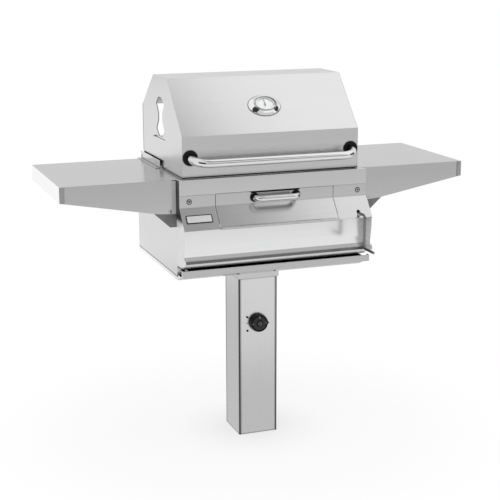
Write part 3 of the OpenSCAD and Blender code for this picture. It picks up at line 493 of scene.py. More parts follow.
def moulded(name, colour, rough, coat=0.0, gloss=0.5):
    """Moulded plastic or enamel: a fine spark-eroded texture and slightly lighter, dusty patches."""
    net = new_net(name)
    skin = net.noise([900.0] * 3, 2.0)
    dust = net.noise([35.0] * 3, 4.0)
    return net.shade(
        {
            "Base Color": net.mixed(dust, scaled(colour, 0.85), scaled(colour, 1.15)),
            "Roughness": net.spread(dust, rough - 0.06, rough + 0.06),
            "Normal": net.bumped(skin, 0.12, 0.0001),
            "Coat Weight": coat,
            "Specular IOR Level": gloss,
        }
    )


def clear_lens(name, colour, rough):
    """Thin glass: almost wholly see-through, with a sharp reflection and faint smears."""
    net = new_net(name)
    roughness = net.spread(net.noise([60.0] * 3, 2.0), rough - 0.02, rough + 0.02)
    return net.shade({"Base Color": colour, "Roughness": roughness, "Alpha": 0.16, "IOR": 1.5})


FINISHES = {}


def finish(name):
    """The material of that name, made when it is first asked for. A row is (maker, colour, roughness, rest)."""
    if name not in FINISHES:
        looks = bpy.context.scene.grill_looks
        steel, bright, black = looks.steel_colour, looks.bright_colour, looks.black_colour
        rough = looks.steel_roughness
        # The brushed sheets whose steel colour is scaled here, and the skirt edges, are lit and shaded copies of
        # one stainless steel: each scale paints the tone that light and shade give that part, and the cheeks are
        # made nearly non-metal and the skirt edges non-metal to hold it
        rows = {
            "hood_sheet": (brushed, steel, rough, {}),
            "hood_side_sheet": (brushed, steel, rough, {"axis": "Y"}),
            "side_sheet": (brushed, steel, rough, {"axis": "Y"}),
            "cheek_sheet": (brushed, scaled(steel, 1.36), rough * 1.4, {"axis": "Y", "metal": 0.1}),
            "front_sheet": (brushed, steel, rough * 0.85, {}),
            "fascia_sheet": (brushed, scaled(steel, 0.9), rough * 0.85, {"seam": 0.008}),
            "lip_sheet": (brushed, scaled(steel, 0.74), rough, {"seam": 0.006}),
            "lower_front_sheet": (brushed, scaled(steel, 1.13), rough * 0.85, {"seam": 0.0015}),
            "shelf_sheet": (brushed, scaled(steel, 0.84), rough * 0.8, {}),
            "shelf_end_sheet": (brushed, scaled(steel, 1.42), rough, {"axis": "Y"}),
            "post_sheet": (brushed, steel, rough, {"axis": "Z", "fold": 0.002}),
            "collar_sheet": (brushed, scaled(steel, 0.84), rough, {"fold": 0.002, "seam": 0.03}),
            "pan_sheet": (brushed, scaled(steel, 1.28), rough * 0.5, {}),
            "inner_sheet": (brushed, scaled(steel, 0.8), rough * 1.3, {"axis": "Y", "streaks": 0.05}),
            "plate_satin": (brushed, scaled(bright, 1.36), rough * 1.4, {"fold": 0.0003, "seam": 0.002}),
            "tube_steel": (bright_metal, bright, looks.tube_roughness, {}),
            "mirror_steel": (bright_metal, scaled(bright, 1.2), looks.mirror_roughness, {}),
            "rod_steel": (bright_metal, scaled(steel, 0.32), 0.22, {}),
            "fastener_steel": (bright_metal, scaled(steel, 0.85), 0.2, {}),
            "dull_steel": (worn_metal, scaled(steel, 0.4), 0.42, {"light": scaled(steel, 0.62)}),
            # The shelf brackets are painted dark for the shade that falls on them between the skirts and the body
            "bracket_steel": (worn_metal, scaled(steel, 0.34), 0.55, {"light": scaled(steel, 0.46)}),
            "sooty_steel": (worn_metal, (0.035, 0.032, 0.03, 1), 0.55, {"light": (0.16, 0.145, 0.13, 1)}),
            "skirt_edge_sheet": (moulded, scaled(steel, 0.8), 0.6, {"gloss": 0.1}),
            "black_moulding": (moulded, black, 0.4, {"gloss": 0.15}),
            # Matt black for seals and the plate's edge, and for pieces of painted shade: the screws' rings and
            # crosses and the knob's well
            "black_gasket": (moulded, scaled(black, 0.6), 0.6, {"gloss": 0.1}),
            "dark_grey_face": (moulded, (0.035, 0.035, 0.036), 0.5, {"gloss": 0.2}),
            "dark_grey_cap": (moulded, (0.06, 0.06, 0.062), 0.35, {"gloss": 0.4}),
            "white_enamel": (moulded, (0.88, 0.88, 0.87), 0.35, {"coat": 0.3}),
            "black_print": (moulded, (0.008, 0.008, 0.008), 0.5, {"gloss": 0.1}),
            "white_print": (moulded, (0.5, 0.5, 0.5), 0.5, {}),
            "lens": (clear_lens, (0.9, 0.93, 0.93, 1), 0.04, {}),
        }
        maker, colour, roughness, rest = rows[name]
        FINISHES[name] = maker(name, colour, roughness, **rest)
    return FINISHES[name]


NODE_FINISHES = {
    "hood_sheet": "hood_shell",
    "hood_side_sheet": "hood_left_side hood_right_side left_vent_damper right_vent_damper",
    "side_sheet": "left_side_panel right_side_panel back_panel",
    "cheek_sheet": "left_cheek right_cheek",
    "front_sheet": "top_trim",
    "fascia_sheet": "front_panel access_door",
    "lip_sheet": "ash_tray",
    "lower_front_sheet": "lower_front_panel",
    "shelf_sheet": "left_shelf_top right_shelf_top",
    "bracket_steel": "left_shelf_brackets right_shelf_brackets",
    "shelf_end_sheet": "left_shelf_end right_shelf_end",
    "post_sheet": "post",
    "collar_sheet": "post_collar",
    "inner_sheet": "firebox_liner",
    "mirror_steel": "door_hinge_pin thermometer_stem",
    "rod_steel": "crank_rod",
    "fastener_steel": "post_bolts side_bolts shelf_bolts hood_hinge_studs",
    "dull_steel": "left_lift_shaft sync_bar bar_guides tray_rails hinge_brackets grid_ledges timer_valve",
    "sooty_steel": "charcoal_pan left_cooking_grid right_cooking_grid",
    "white_enamel": "thermometer_dial",
    "black_print": "thermometer_needle",
}


# Sizes, colours and levels that can be changed


def length_row(name, description, default):
    """Property of a length."""
    return FloatProperty(name=name, description=description, default=default, unit="LENGTH")


def level_row(name, description, default, top=1.0):
    """Property of a roughness or of a level of light, from 0 to its top."""
    return FloatProperty(name=name, description=description, default=default, min=0, max=top, subtype="FACTOR")


def power_row(name, description, default):
    """Property of a lamp's power."""
    return FloatProperty(name=name, description=description, default=default, min=0, unit="POWER")


def angle_row(name, description, degrees):
    """Property of an angle, whose default is given in degrees."""
    return FloatProperty(name=name, description=description, default=math.radians(degrees), subtype="ANGLE")


def colour_row(name, description, default):
    """Property of a colour."""
    return FloatVectorProperty(name=name, description=description, default=default, subtype="COLOR", min=0, max=1)


class GrillLooks(bpy.types.PropertyGroup):
    """Sizes and colours of the dressed grill."""

    steel_colour: colour_row("Sheet steel", "Colour of the brushed sheet", (0.66, 0.66, 0.665))
    bright_colour: colour_row("Bright steel", "Colour of handles and trim rings", (0.7, 0.7, 0.705))
    black_colour: colour_row("Black mouldings", "Colour of the knob and bezels", (0.006, 0.006, 0.0062))
    steel_roughness: level_row("Sheet roughness", "Roughness of the brushed sheet", 0.25)
    tube_roughness: level_row("Handle roughness", "Roughness of the tube handles", 0.1)
    mirror_roughness: level_row("Ring roughness", "Roughness of the thermometer's ring", 0.05)
    tube_sides: IntProperty(
        name="Sides of round pieces", description="Facets round each turned piece", default=72, min=24, max=160
    )
    grab_radius: length_row("Hood handle radius", "Radius of the hood's handle tube", 0.0145)
    grab_out: length_row("Hood handle reach", "Distance of the bar from the hood's face", 0.0614)
    grab_drop: length_row("Hood handle drop", "Height of the feet over the bar", 0.013)
    grab_bend: length_row("Hood handle bend", "Radius of the handle's bends", 0.058)
    pull_radius: length_row("Door handle radius", "Radius of the door's handle tube", 0.0105)
    pull_out: length_row("Door handle reach", "Distance of the bar from the door", 0.035)
    pull_bend: length_row("Door handle bend", "Radius of the door handle's bends", 0.023)
    plate_length: length_row("Plate length", "Length of the bare plate", 0.094)
    plate_height: length_row("Plate height", "Height of the bare plate", 0.031)


class GrillStage(bpy.types.PropertyGroup):
    """Camera, floor and lights."""

    camera_place: FloatVectorProperty(
        name="Camera", description="Place of the camera", default=(-1.5574, -4.2325, 1.7841), subtype="TRANSLATION"
    )
    camera_yaw: angle_row("Camera yaw", "Turn of the camera from +Y to +X", 20.163)
    camera_pitch: angle_row("Camera pitch", "Downward tilt of the camera", 13.524)
    camera_roll: angle_row("Camera roll", "Roll of the camera", 0.151)
    lens: FloatProperty(
        name="Lens", description="Focal length in millimetres on a 36 mm sensor", default=89.13, min=20, max=300
    )
    floor_radius: length_row("Floor radius", "Radius of the round floor", 3.5)
    sky_level: level_row("Sky level", "Strength of the even light from all round", 0.75, top=3)
    top_light: power_row("Top softbox", "Power of the softbox over the grill", 14.0)
    front_light: power_row("Front softbox", "Power of the softbox at the front left", 22.0)
    card_grey: level_row("Front card", "Level of the grey card that the front faces mirror", 0.7)
    back_grey: level_row("Back card", "Level of the card behind that the tops mirror", 0.84)
    band_grey: level_row("Dark band", "Level of the band over the front card", 0.16)
    flag_grey: level_row("Flags", "Level of the dark flags at both sides", 0.04)
    ceiling_low: level_row("Ceiling, left", "Level of the ceiling cloth over the left", 0.46, top=2)
    ceiling_high: level_row("Ceiling, right", "Level of the ceiling cloth over the right", 1.22, top=2)


# Pieces


class GRILL_OT_finishes(bpy.types.Operator):
    """Gives every CAD node its finish"""

    bl_idname = "grill.finishes"
    bl_label = "Finish the CAD nodes"

    def execute(self, context):
        for name, members in NODE_FINISHES.items():
            for node in members.split():
                obj = frame["nodes"][node]
                if not obj.material_slots:
                    obj.data.materials.append(None)
                for material_slot in obj.material_slots:
                    material_slot.material = finish(name)
        return {"FINISHED"}


def handle_path(feet, out, bend, foot, steps=24):
    """Path of a bar handle in the plane of x and y, its feet at y = foot and its bar at y = -out:
    straight leg, quarter bend, straight bar, quarter bend, straight leg."""
    x, y = feet / 2 - bend, bend - out
    left = np.radians(np.linspace(180, 270, steps))
    right = np.radians(np.linspace(270, 360, steps))
    leg = np.linspace(foot, y, 4)[:-1]
    rows = [np.column_stack([np.full(3, -feet / 2), leg])]
    rows.append(np.column_stack([-x + bend * np.cos(left), y + bend * np.sin(left)]))
    rows.append(np.column_stack([np.linspace(-x, x, 10)[1:-1], np.full(8, -out)]))
    rows.append(np.column_stack([x + bend * np.cos(right), y + bend * np.sin(right)]))
    rows.append(np.column_stack([np.full(3, feet / 2), leg[::-1]]))
    flat = np.concatenate(rows)
    return np.column_stack([flat, np.zeros(len(flat))])


def bar_handle(bezels, face, radius, out, drop, bend, sunk, sides):
    """A tube handle whose feet stand in the middle of two bezels on a face, sunk a little into it: the flat
    handle is turned about x until its bar lies lower than its feet by the drop."""
    low, high = bezels
    feet = high.x - low.x - (high.z - low.z)
    points, faces = tube(handle_path(feet, math.hypot(out, drop), bend, -sunk), radius, sides)
    turn = np.array(Matrix.Rotation(math.atan2(drop, out), 4, "X"))
    return points @ turn[:3, :3].T + np.array([0.0, face, (high.z + low.z) / 2]), faces


class GRILL_OT_hood_handle(bpy.types.Operator):
    """Makes the hood's tube handle, tilted down from its feet"""

    bl_idname = "grill.hood_handle"
    bl_label = "Hood handle"

    def execute(self, context):
        looks = context.scene.grill_looks
        size = (looks.grab_radius, looks.grab_out, looks.grab_drop, looks.grab_bend)
        surface = bar_handle(GRAB_BEZELS, HOOD_FACE, *size, sunk=0.0015, sides=looks.tube_sides)
        make_piece("hood_handle_tube", surface, "tube_steel", "hood", "hood_handle")
        return {"FINISHED"}


class GRILL_OT_door_handle(bpy.types.Operator):
    """Makes the charcoal door's small tube handle"""

    bl_idname = "grill.door_handle"
    bl_label = "Door handle"

    def execute(self, context):
        looks = context.scene.grill_looks
        size = (looks.pull_radius, looks.pull_out, 0.0, looks.pull_bend)
        surface = bar_handle(PULL_BEZELS, DOOR_FACE, *size, sunk=0.0005, sides=looks.tube_sides)
        make_piece("door_handle_tube", surface, "tube_steel", "door", "door_handle")
        return {"FINISHED"}


def cup_profile(inner, outer, height):
    """Closed profile of a domed ring: a short edge, an elliptical dome, a rounded inner lip, the inner wall."""
    lip, edge = 0.0012, 0.0015
    dome = arc_profile((inner + lip, edge), (outer - inner - lip, height - edge), 90, 0, 14)
    wall = [(inner, 0.0), (inner, height - 2 * lip), (inner + lip * 0.3, height - lip * 0.5)]
    return (wall + dome + [(outer, 0.0)])[::-1]


class GRILL_OT_bezels(bpy.types.Operator):
    """Makes the dark bezels round the feet of both handles"""

    bl_idname = "grill.bezels"
    bl_label = "Handle bezels"

    def execute(self, context):
        looks = context.scene.grill_looks
        fit = 0.0004
        for name, body, node, radius in (
            ("hood_handle_cups", "hood", "handle_bezels", looks.grab_radius),
            ("door_handle_cups", "door", "door_handle_bezels", looks.pull_radius),
        ):
            low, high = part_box(node)
            outer = (high.z - low.z) / 2
            cup = lathe(cup_profile(radius + fit, outer, high.y - low.y), looks.tube_sides, closed=True)
            surface = both_sides(at(front_frame(high.x - outer, high.y, (high.z + low.z) / 2), cup))
            make_piece(name, surface, "black_moulding", body, node)
        return {"FINISHED"}


# The thermometer, in its own frame: heights over the needle's joint, and shares of the CAD bezel's radius
DIAL_FACE = -0.001
RING_FOOT = -0.01
RING_LENGTH, RING_HEIGHT = 0.955, 0.69
OPEN_LENGTH, OPEN_HEIGHT = 0.52, 0.395
# The ring's sweep rises from its start to its end, as shares of the way out from the opening
SWEEP_START, SWEEP_END, SWEEP_SPAN = 0.97, 0.42, 0.58
SWEEP_FOOT, SWEEP_RISE, SWEEP_POWER = 0.0034, 0.0112, 1.2
# Rows of the ring inside its sweep and under it, as (share of the way out, height over the foot)
RING_EDGE = ((1.0, 0.0012), (1.0, 0.0026))
RING_BEADS = (
    (0.39, 0.0152), (0.36, 0.0150), (0.345, 0.0134), (0.3, 0.0134), (0.285, 0.0146), (0.24, 0.0154),
    (0.2, 0.0150), (0.195, 0.0134), (0.15, 0.0134), (0.135, 0.0144), (0.07, 0.0148), (0.0, 0.0140),
)
RING_UNDERSIDE = ((0.0, 0.0126), (0.36, 0.0126), (0.5, 0.0095), (0.8, 0.0045), (0.85, 0.0012))
# The seal under the ring's edge, as (distance out, height), and the inner ends of the seals in its grooves
EDGE_SEAL = ((-0.002, 0.0001), (0.0012, 0.0001), (0.0012, 0.0018), (-0.002, 0.0018))
GROOVE_SEALS = (0.305, 0.155)
# The scale: its start and its whole turn in degrees, and its parts as shares of its radius
SCALE_START, SCALE_TURN, SCALE_TICKS = 225, 270, 40
SCALE_RINGS = ((0.90, 0.985), (0.55, 0.58))
LONG_TICK, SHORT_TICK, TICK_END, TICK_CORNER = (0.16, 0.05), (0.085, 0.03), 0.905, 0.006


def dial_marks(radius):
    """Scale ring, inner ring and ticks of the dial, as thin slabs: 41 ticks over 270 degrees, each fifth one
    longer."""
    low, high = DIAL_FACE, DIAL_FACE + PRINT
    parts = []
    for inner, outer in ((radius * start, radius * end) for start, end in SCALE_RINGS):
        parts.append(lathe([(inner, low), (outer, low), (outer, high), (inner, high)], 96, closed=True))
    for i in range(SCALE_TICKS + 1):
        angle = math.radians(SCALE_START - SCALE_TURN * i / SCALE_TICKS)
        length, width = LONG_TICK if i % 5 == 0 else SHORT_TICK
        length *= radius
        out = radius * TICK_END - length / 2
        bar = rounded_bar(length, radius * width, radius * TICK_CORNER, 2)
        parts.append(slab(turned(bar, angle, (out * math.cos(angle), out * math.sin(angle))), low, high))
    return joined(parts)


def numeral_surface(text, size, centre, low, high):
    """Points and faces of a generic number in Blender's own font, centred on a place of the dial."""
    curve = bpy.data.curves.new("numeral", "FONT")
    curve.body = text
    curve.size = size
    curve.align_x, curve.align_y = "CENTER", "CENTER"
    curve.resolution_u = 3
    curve.extrude = (high - low) / 2
    holder = bpy.data.objects.new("numeral", curve)
    bpy.context.scene.collection.objects.link(holder)
    mesh = bpy.data.meshes.new_from_object(holder.evaluated_get(bpy.context.evaluated_depsgraph_get()))
    points = np.empty(len(mesh.vertices) * 3)
    mesh.vertices.foreach_get("co", points)
    points = points.reshape(-1, 3) + np.array([centre[0], centre[1], (low + high) / 2])
    faces = [np.array([list(p.vertices)]) for p in mesh.polygons]
    bpy.data.objects.remove(holder)
    bpy.data.curves.remove(curve)
    bpy.data.meshes.remove(mesh)
    return points, faces


def dial_numbers(radius):
    """The hundreds from 100 to 700 on the scale's eighths. Their size and place are shares of the dial's radius."""
    low, high = DIAL_FACE + 0.0002, DIAL_FACE + 0.0005
    size, out = radius * 0.115, radius * 0.44
    numbers = []
    for i in range(1, 8):
        angle = math.radians(SCALE_START - SCALE_TURN * i / 8)
        centre = (out * math.cos(angle), out * math.sin(angle))
        numbers.append(numeral_surface(str(100 * i), size, centre, low, high))
    return joined(numbers)


class GRILL_OT_thermometer(bpy.types.Operator):
    """Makes the oval thermometer ring, its seals, dial marks and lens"""

    bl_idname = "grill.thermometer"
    bl_label = "Thermometer"

    def execute(self, context):
        sides = context.scene.grill_looks.tube_sides + 24
        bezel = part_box("thermometer_bezel")[1].x
        place = hood_frame()
        half_length, half_height = bezel * RING_LENGTH, bezel * RING_HEIGHT
        open_length, open_height = bezel * OPEN_LENGTH, bezel * OPEN_HEIGHT

        def oval(share, height):
            """Row of a profile at a share of the way from the opening's oval to the outer one."""
            along = open_length + (half_length - open_length) * share
            up = open_height + (half_height - open_height) * share
            return along, up, RING_FOOT + height

        ring = [oval(*row) for row in RING_EDGE]
        for w in np.linspace(SWEEP_START, SWEEP_END, 20):
            ring.append(oval(w, SWEEP_FOOT + SWEEP_RISE * ((1 - w) / SWEEP_SPAN) ** SWEEP_POWER))
        ring += [oval(*row) for row in RING_BEADS + RING_UNDERSIDE]
        surface = at(place, lathe(ring, sides, closed=True))
        make_piece("thermometer_ring", surface, "mirror_steel", "hood", "thermometer_bezel")

        seals = [[(half_length + w, half_height + w, RING_FOOT + h) for w, h in EDGE_SEAL]]
        low, high, width = 0.0131, 0.0138, 0.035
        for w in GROOVE_SEALS:
            seals.append([oval(w, low), oval(w + width, low), oval(w + width, high), oval(w, high)])
        surface = at(place, joined([lathe(rows, sides, closed=True) for rows in seals]))
        make_piece("thermometer_gasket", surface, "black_gasket", "hood")

        make_piece("dial_marks", at(place, dial_marks(open_height)), "black_print", "hood")
        numbers = at(place, dial_numbers(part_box("thermometer_dial")[1].x))
        make_piece("dial_numbers", numbers, "black_print", "hood")

        edge, crown, glass = 0.0136, 0.0010, 0.0007
        shares = np.linspace(0.02, 1.01, 12)
        lens = [(open_length * w, open_height * w, RING_FOOT + edge + crown * (1 - w * w)) for w in shares]
        inside = [(long, short, h - glass) for long, short, h in reversed(lens)]
        surface = at(place, lathe((lens + inside)[::-1], sides))
        make_piece("thermometer_lens", surface, "lens", "hood", "thermometer_glass")
        return {"FINISHED"}


def nib_factor(reach):
    """How the knob's edge swells at 3 o'clock: 1 + reach times a narrow rounded peak at t = 0."""
    half_width, power = 0.2, 1.3

    def factor(t):
        """The factor at the angles t."""
        away = np.abs((t + math.pi) % TURN - math.pi)
        return 1 + reach * np.clip(1 - away / half_width, 0, 1) ** power

    return factor


# The knob's white marks, as rows of printed()
KNOB_MARKS = (
    (0.0055, 0.0012, 0.0005, 3, 0, 0.0255, 0.0, 0.0),
    (0.0055, 0.0012, 0.0005, 3, 180, -0.0255, 0.0, 0.0),
    (0.0062, 0.0011, 0.0005, 3, 66, 0.0013, 0.0225, 0.0),
    (0.0062, 0.0011, 0.0005, 3, 114, -0.0013, 0.0225, 0.0),
    (0.0045, 0.0011, 0.0005, 3, 90, 0.0, 0.0272, 0.0001),
)


class GRILL_OT_knob(bpy.types.Operator):
    """Makes the timer knob with its nib, face, hub, shaft and plain marks"""

    bl_idname = "grill.knob"
    bl_label = "Timer knob"

    def execute(self, context):
        gap, rim_share, disc, hub = 0.0003, 0.88, 0.021, 0.006
        low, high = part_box("timer_knob")
        rim = (high.z - low.z) / 2
        nib = nib_factor((high.x - rim) / rim * 1.05)
        rim *= rim_share
        place = front_frame(0, POST_FRONT - gap, KNOB["pos_m"][2])

        edge = [(rim - 0.002, 0.0), (rim - 0.0004, 0.0008), (rim, 0.002)]
        edge += arc_profile((rim - 0.003, disc - 0.003), (0.003, 0.003), 0, 90, 6)
        edge += [(rim - 0.0045, disc), (rim - 0.0056, disc - 0.0016)]
        edge += [(rim - 0.008, disc - 0.0026), (0.003, disc - 0.0026)]
        face = [(rim - 0.0065, disc - 0.003), (rim - 0.0065, disc - 0.0016), (rim - 0.0085, disc - 0.0009)]
        face += [(0.0135, disc - 0.0006), (0.0122, disc - 0.002), (0.003, disc - 0.002)]
        well = [(0.0121, disc - 0.0024), (0.0121, disc - 0.0016), (0.003, disc - 0.0016)]
        top = disc + hub
        cap = [(0.0098, disc - 0.001), (0.0095, disc + 0.0015), (0.0090, disc + 0.003)]
        cap += arc_profile((0.0065, top - 0.0022), (0.0025, 0.0022), 0, 90, 6)
        cap += [(0.004, top - 0.0006), (0.0015, top - 0.0009)]
        shaft = [(0.004, -0.0107), (0.004, disc - 0.003)]
        # The knob is one dark moulding: the black disc at its rim and the blacker well round the hub are painted
        # shade, and the dark grey face and hub are lighter copies that paint the light on its front
        for name, surface, look, node in (
            ("timer_knob_disc", lathe(edge, 144, radius_of=nib), "black_moulding", "timer_knob"),
            ("timer_knob_face", lathe(face, 96), "dark_grey_face", ""),
            ("timer_knob_well", lathe(well, 64), "black_gasket", ""),
            ("timer_knob_hub", lathe(cap, 64), "dark_grey_cap", ""),
            ("timer_shaft", lathe(shaft, 32), "fastener_steel", ""),
            ("timer_knob_marks", printed(KNOB_MARKS, disc - 0.002, disc + 0.0004), "white_print", ""),
        ):
            make_piece(name, at(place, surface), look, "knob", node)
        return {"FINISHED"}


class GRILL_OT_base_pan(bpy.types.Operator):
    """Makes the base pan with its front edge folded up at a slope to the tray's lip"""

    bl_idname = "grill.base_pan"
    bl_label = "Base pan"

    def execute(self, context):
        low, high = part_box("base_pan")
        lift, run = 0.0182, 0.0385
        half = WALL / 2
        outer = [(low.y, high.z), (low.y, low.z + lift), (low.y + run, low.z), (high.y, low.z), (high.y, high.z)]
        inner = [(low.y + WALL, high.z), (low.y + WALL, low.z + lift + half), (low.y + run + half, low.z + WALL)]
        inner += [(high.y - WALL, low.z + WALL), (high.y - WALL, high.z)]
        surface = open_tray(outer, inner, high.x, WALL)
        make_piece("base_pan_shell", surface, "pan_sheet", "stand", "base_pan")
        return {"FINISHED"}


class GRILL_OT_lower_front(bpy.types.Operator):
    """Makes the lower front panel with its folded groove and upright hem"""

    bl_idname = "grill.lower_front"
    bl_label = "Lower front panel"

    def execute(self, context):
        low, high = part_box("lower_front_panel")
        depth, step, turn = 0.0077, 0.0015, 0.0008
        face = high.y - depth
        line = [(face, high.z), (face, GROOVE_TOP), (face + step, GROOVE_FOOT), (low.y, HEM_TOP), (low.y, low.z)]
        inside = [(y + WALL, z) for y, z in line]
        inside[2] = (face + step + WALL, GROOVE_FOOT - turn)
        inside[3] = (low.y + WALL, HEM_TOP - turn)
        points, faces = slab(line + inside[::-1], low.x, high.x)
        surface = points[:, [2, 0, 1]], faces
        make_piece("lower_front_skin", surface, "lower_front_sheet", "stand", "lower_front_panel")
        return {"FINISHED"}


class GRILL_OT_skirt_edges(bpy.types.Operator):
    """Makes the folded edges that close the shelves' skirts against the firebox"""

    bl_idname = "grill.skirt_edges"
    bl_label = "Skirt edges"

    def execute(self, context):
        width, gap, under_top, behind, ahead = 0.016, 0.0012, 0.004, 0.0013, 0.0002
        low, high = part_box("left_shelf_top")
        left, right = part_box("left_shelf_brackets")[1].x - width, -CHEEK_OUT - gap
        top = high.z - under_top
        outline = [(left, low.z), (right, low.z), (right, top), (left, top)]
        points, faces = slab(outline, low.y - ahead, low.y + behind)
        surface = both_sides((points[:, [0, 2, 1]], faces))
        make_piece("skirt_edges", surface, "skirt_edge_sheet", "stand")
        return {"FINISHED"}


# The marks beside the knob, as rows of printed()
POST_DOTS = (
    (0.0112, 0.0066, 0.0030, 6, -40, -0.0425, 0.0235, 0.0),
    (0.0088, 0.0088, 0.0043, 8, 0, -0.0415, -0.0295, 0.0),
)
POST_POINTER = (
    (0.0085, 0.0016, 0.0006, 3, 0, -0.0425, 0.0005, 0.0),
    (0.0016, 0.0052, 0.0006, 3, 0, -0.0410, -0.0012, 0.00001),
)


class GRILL_OT_post_marks(bpy.types.Operator):
    """Prints the two dots and the small pointer beside the knob on the post"""

    bl_idname = "grill.post_marks"
    bl_label = "Post marks"

    def execute(self, context):
        place = front_frame(0, POST_FRONT, KNOB["pos_m"][2])
        for name, marks in (("post_dots", POST_DOTS), ("post_pointer", POST_POINTER)):
            make_piece(name, at(place, printed(marks, 0, PRINT)), "black_print", "stand")
        return {"FINISHED"}


class GRILL_OT_plate(bpy.types.Operator):
    """Makes the bare plate on the sloping front: a dark edge and a plain satin field"""

    bl_idname = "grill.plate"
    bl_label = "Bare plate"

    def execute(self, context):
        looks = context.scene.grill_looks
        length, height = looks.plate_length, looks.plate_height
        border, rounding = 0.006, 0.0003
        edge_corner, edge_top = 0.0025, 0.0014
        field_corner, field_foot, field_top = 0.0014, 0.001, 0.0019
        place = plate_frame()
        edge = slab(rounded_bar(length, height, edge_corner), 0.0, edge_top)
        make_piece("plate_edge", at(place, edge), "black_gasket", "stand", bevel=rounding)
        field = slab(rounded_bar(length - border, height - border, field_corner), field_foot, field_top)
        make_piece("plate_field", at(place, field), "plate_satin", "stand", bevel=rounding)
        return {"FINISHED"}


class GRILL_OT_screws(bpy.types.Operator):
    """Makes the two pan-head screws of the front, each with a dark ring of painted shadow round its head and a dark
    cross of painted shade where its cross recess is
    """

    bl_idname = "grill.screws"
    bl_label = "Front screws"

    def execute(self, context):
        low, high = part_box("panel_screws")
        height = high.z - low.z
        shank, depth, edge, dome, proud = 0.002, 0.004, 0.0004, 0.0014, 0.0018
        radius, sides = height * 0.78, 40
        place = front_frame(high.x - height / 2, low.y + proud, (high.z + low.z) / 2)

        head = [(shank, -depth), (shank, 0.0), (radius, 0.0), (radius, edge)]
        head += arc_profile((radius * 0.45, edge), (radius * 0.55, dome), 8, 90, 8) + [(radius * 0.2, proud)]
        surface = both_sides(at(place, lathe(head, sides)))
        make_piece("front_screw_heads", surface, "fastener_steel", "stand", "panel_screws")

        # A dark ring under each head's edge: painted shadow of the gap round the head
        inner, outer, under, over = radius * 0.95, radius * 1.34, -0.0012, 0.0005
        rim = [(inner, under), (outer, under), (outer, over), (inner, over)]
        surface = both_sides(at(place, lathe(rim, sides, closed=True)))
        make_piece("front_screw_washers", surface, "black_gasket", "stand")

        # A dark cross on each head: painted shade of the cross recess, which isn't cut
        long, wide, corner, twist = radius * 1.3, radius * 0.42, radius * 0.15, 0.6
        foot, top, apart = 0.0014, 0.00184, 0.00002
        cross = []
        for i, angle in enumerate((twist, twist + TURN / 4)):
            cross.append(slab(turned(rounded_bar(long, wide, corner, 2), angle), foot, top + apart * i))
        surface = both_sides(at(place, joined(cross)))
        make_piece("front_screw_crosses", surface, "black_gasket", "stand")
        return {"FINISHED"}


# Studio


class GRILL_OT_stage(bpy.types.Operator):
    """Makes the camera, the pale floor, the soft lights and the white background"""

    bl_idname = "grill.stage"
    bl_label = "Studio"

    def execute(self, context):
        stage = context.scene.grill_stage
        make_camera(stage)
        make_floor(stage)
        make_world(stage)
        for name, place, target, light in SOFTBOXES:
            make_softbox(name, place, target, getattr(stage, light))
        make_cards(stage)
        context.scene.view_settings.view_transform = "Standard"
        return {"FINISHED"}


def make_camera(stage):
    """Camera from its place, yaw, pitch and roll, with no shift and no depth of field."""
    yaw, pitch, roll = stage.camera_yaw, -stage.camera_pitch, -stage.camera_roll
    ahead = Vector((math.sin(yaw) * math.cos(pitch), math.cos(yaw) * math.cos(pitch), math.sin(pitch)))
    level_right = Vector((math.cos(yaw), -math.sin(yaw), 0))
    level_up = level_right.cross(ahead)
    right = math.cos(roll) * level_right + math.sin(roll) * level_up
    up = -math.sin(roll) * level_right + math.cos(roll) * level_up
    data = bpy.data.cameras.new("photo_camera")
    data.sensor_width = 36
    data.lens = stage.lens
    data.clip_start, data.clip_end = 0.05, 200
    camera = bpy.data.objects.new("photo_camera", data)
    camera.matrix_world = Matrix.Translation(stage.camera_place) @ Matrix((right, up, -ahead)).transposed().to_4x4()
    bpy.context.scene.collection.objects.link(camera)
    bpy.context.scene.camera = camera


FLOOR_SIDES = 96
# Where the floor's level in mirrors starts from, behind the grill, and how far out it changes
FLOOR_SHADE_Y, FLOOR_SHADE_REACH = 0.9, 4.5
# (share of the way out, level): the floor in mirrors, and its share of plain white for the camera
FLOOR_MIRRORED = ((0.2, 0.74), (0.33, 0.78), (0.5, 1.04), (0.8, 1.12), (0.95, 1.15))
FLOOR_WHITE = ((0.0, 0.62), (0.1, 0.86), (0.32, 1.0))


def stage_object(name, points, faces, net):
    """A studio mesh with the material of that node tree, which isn't part of the grill."""
    mesh = bpy.data.meshes.new(name)
    mesh.from_pydata(points, [], faces)
    mesh.validate()
    mesh.materials.append(net.owner)
    thing = bpy.data.objects.new(name, mesh)
    bpy.context.scene.collection.objects.link(thing)
    return thing


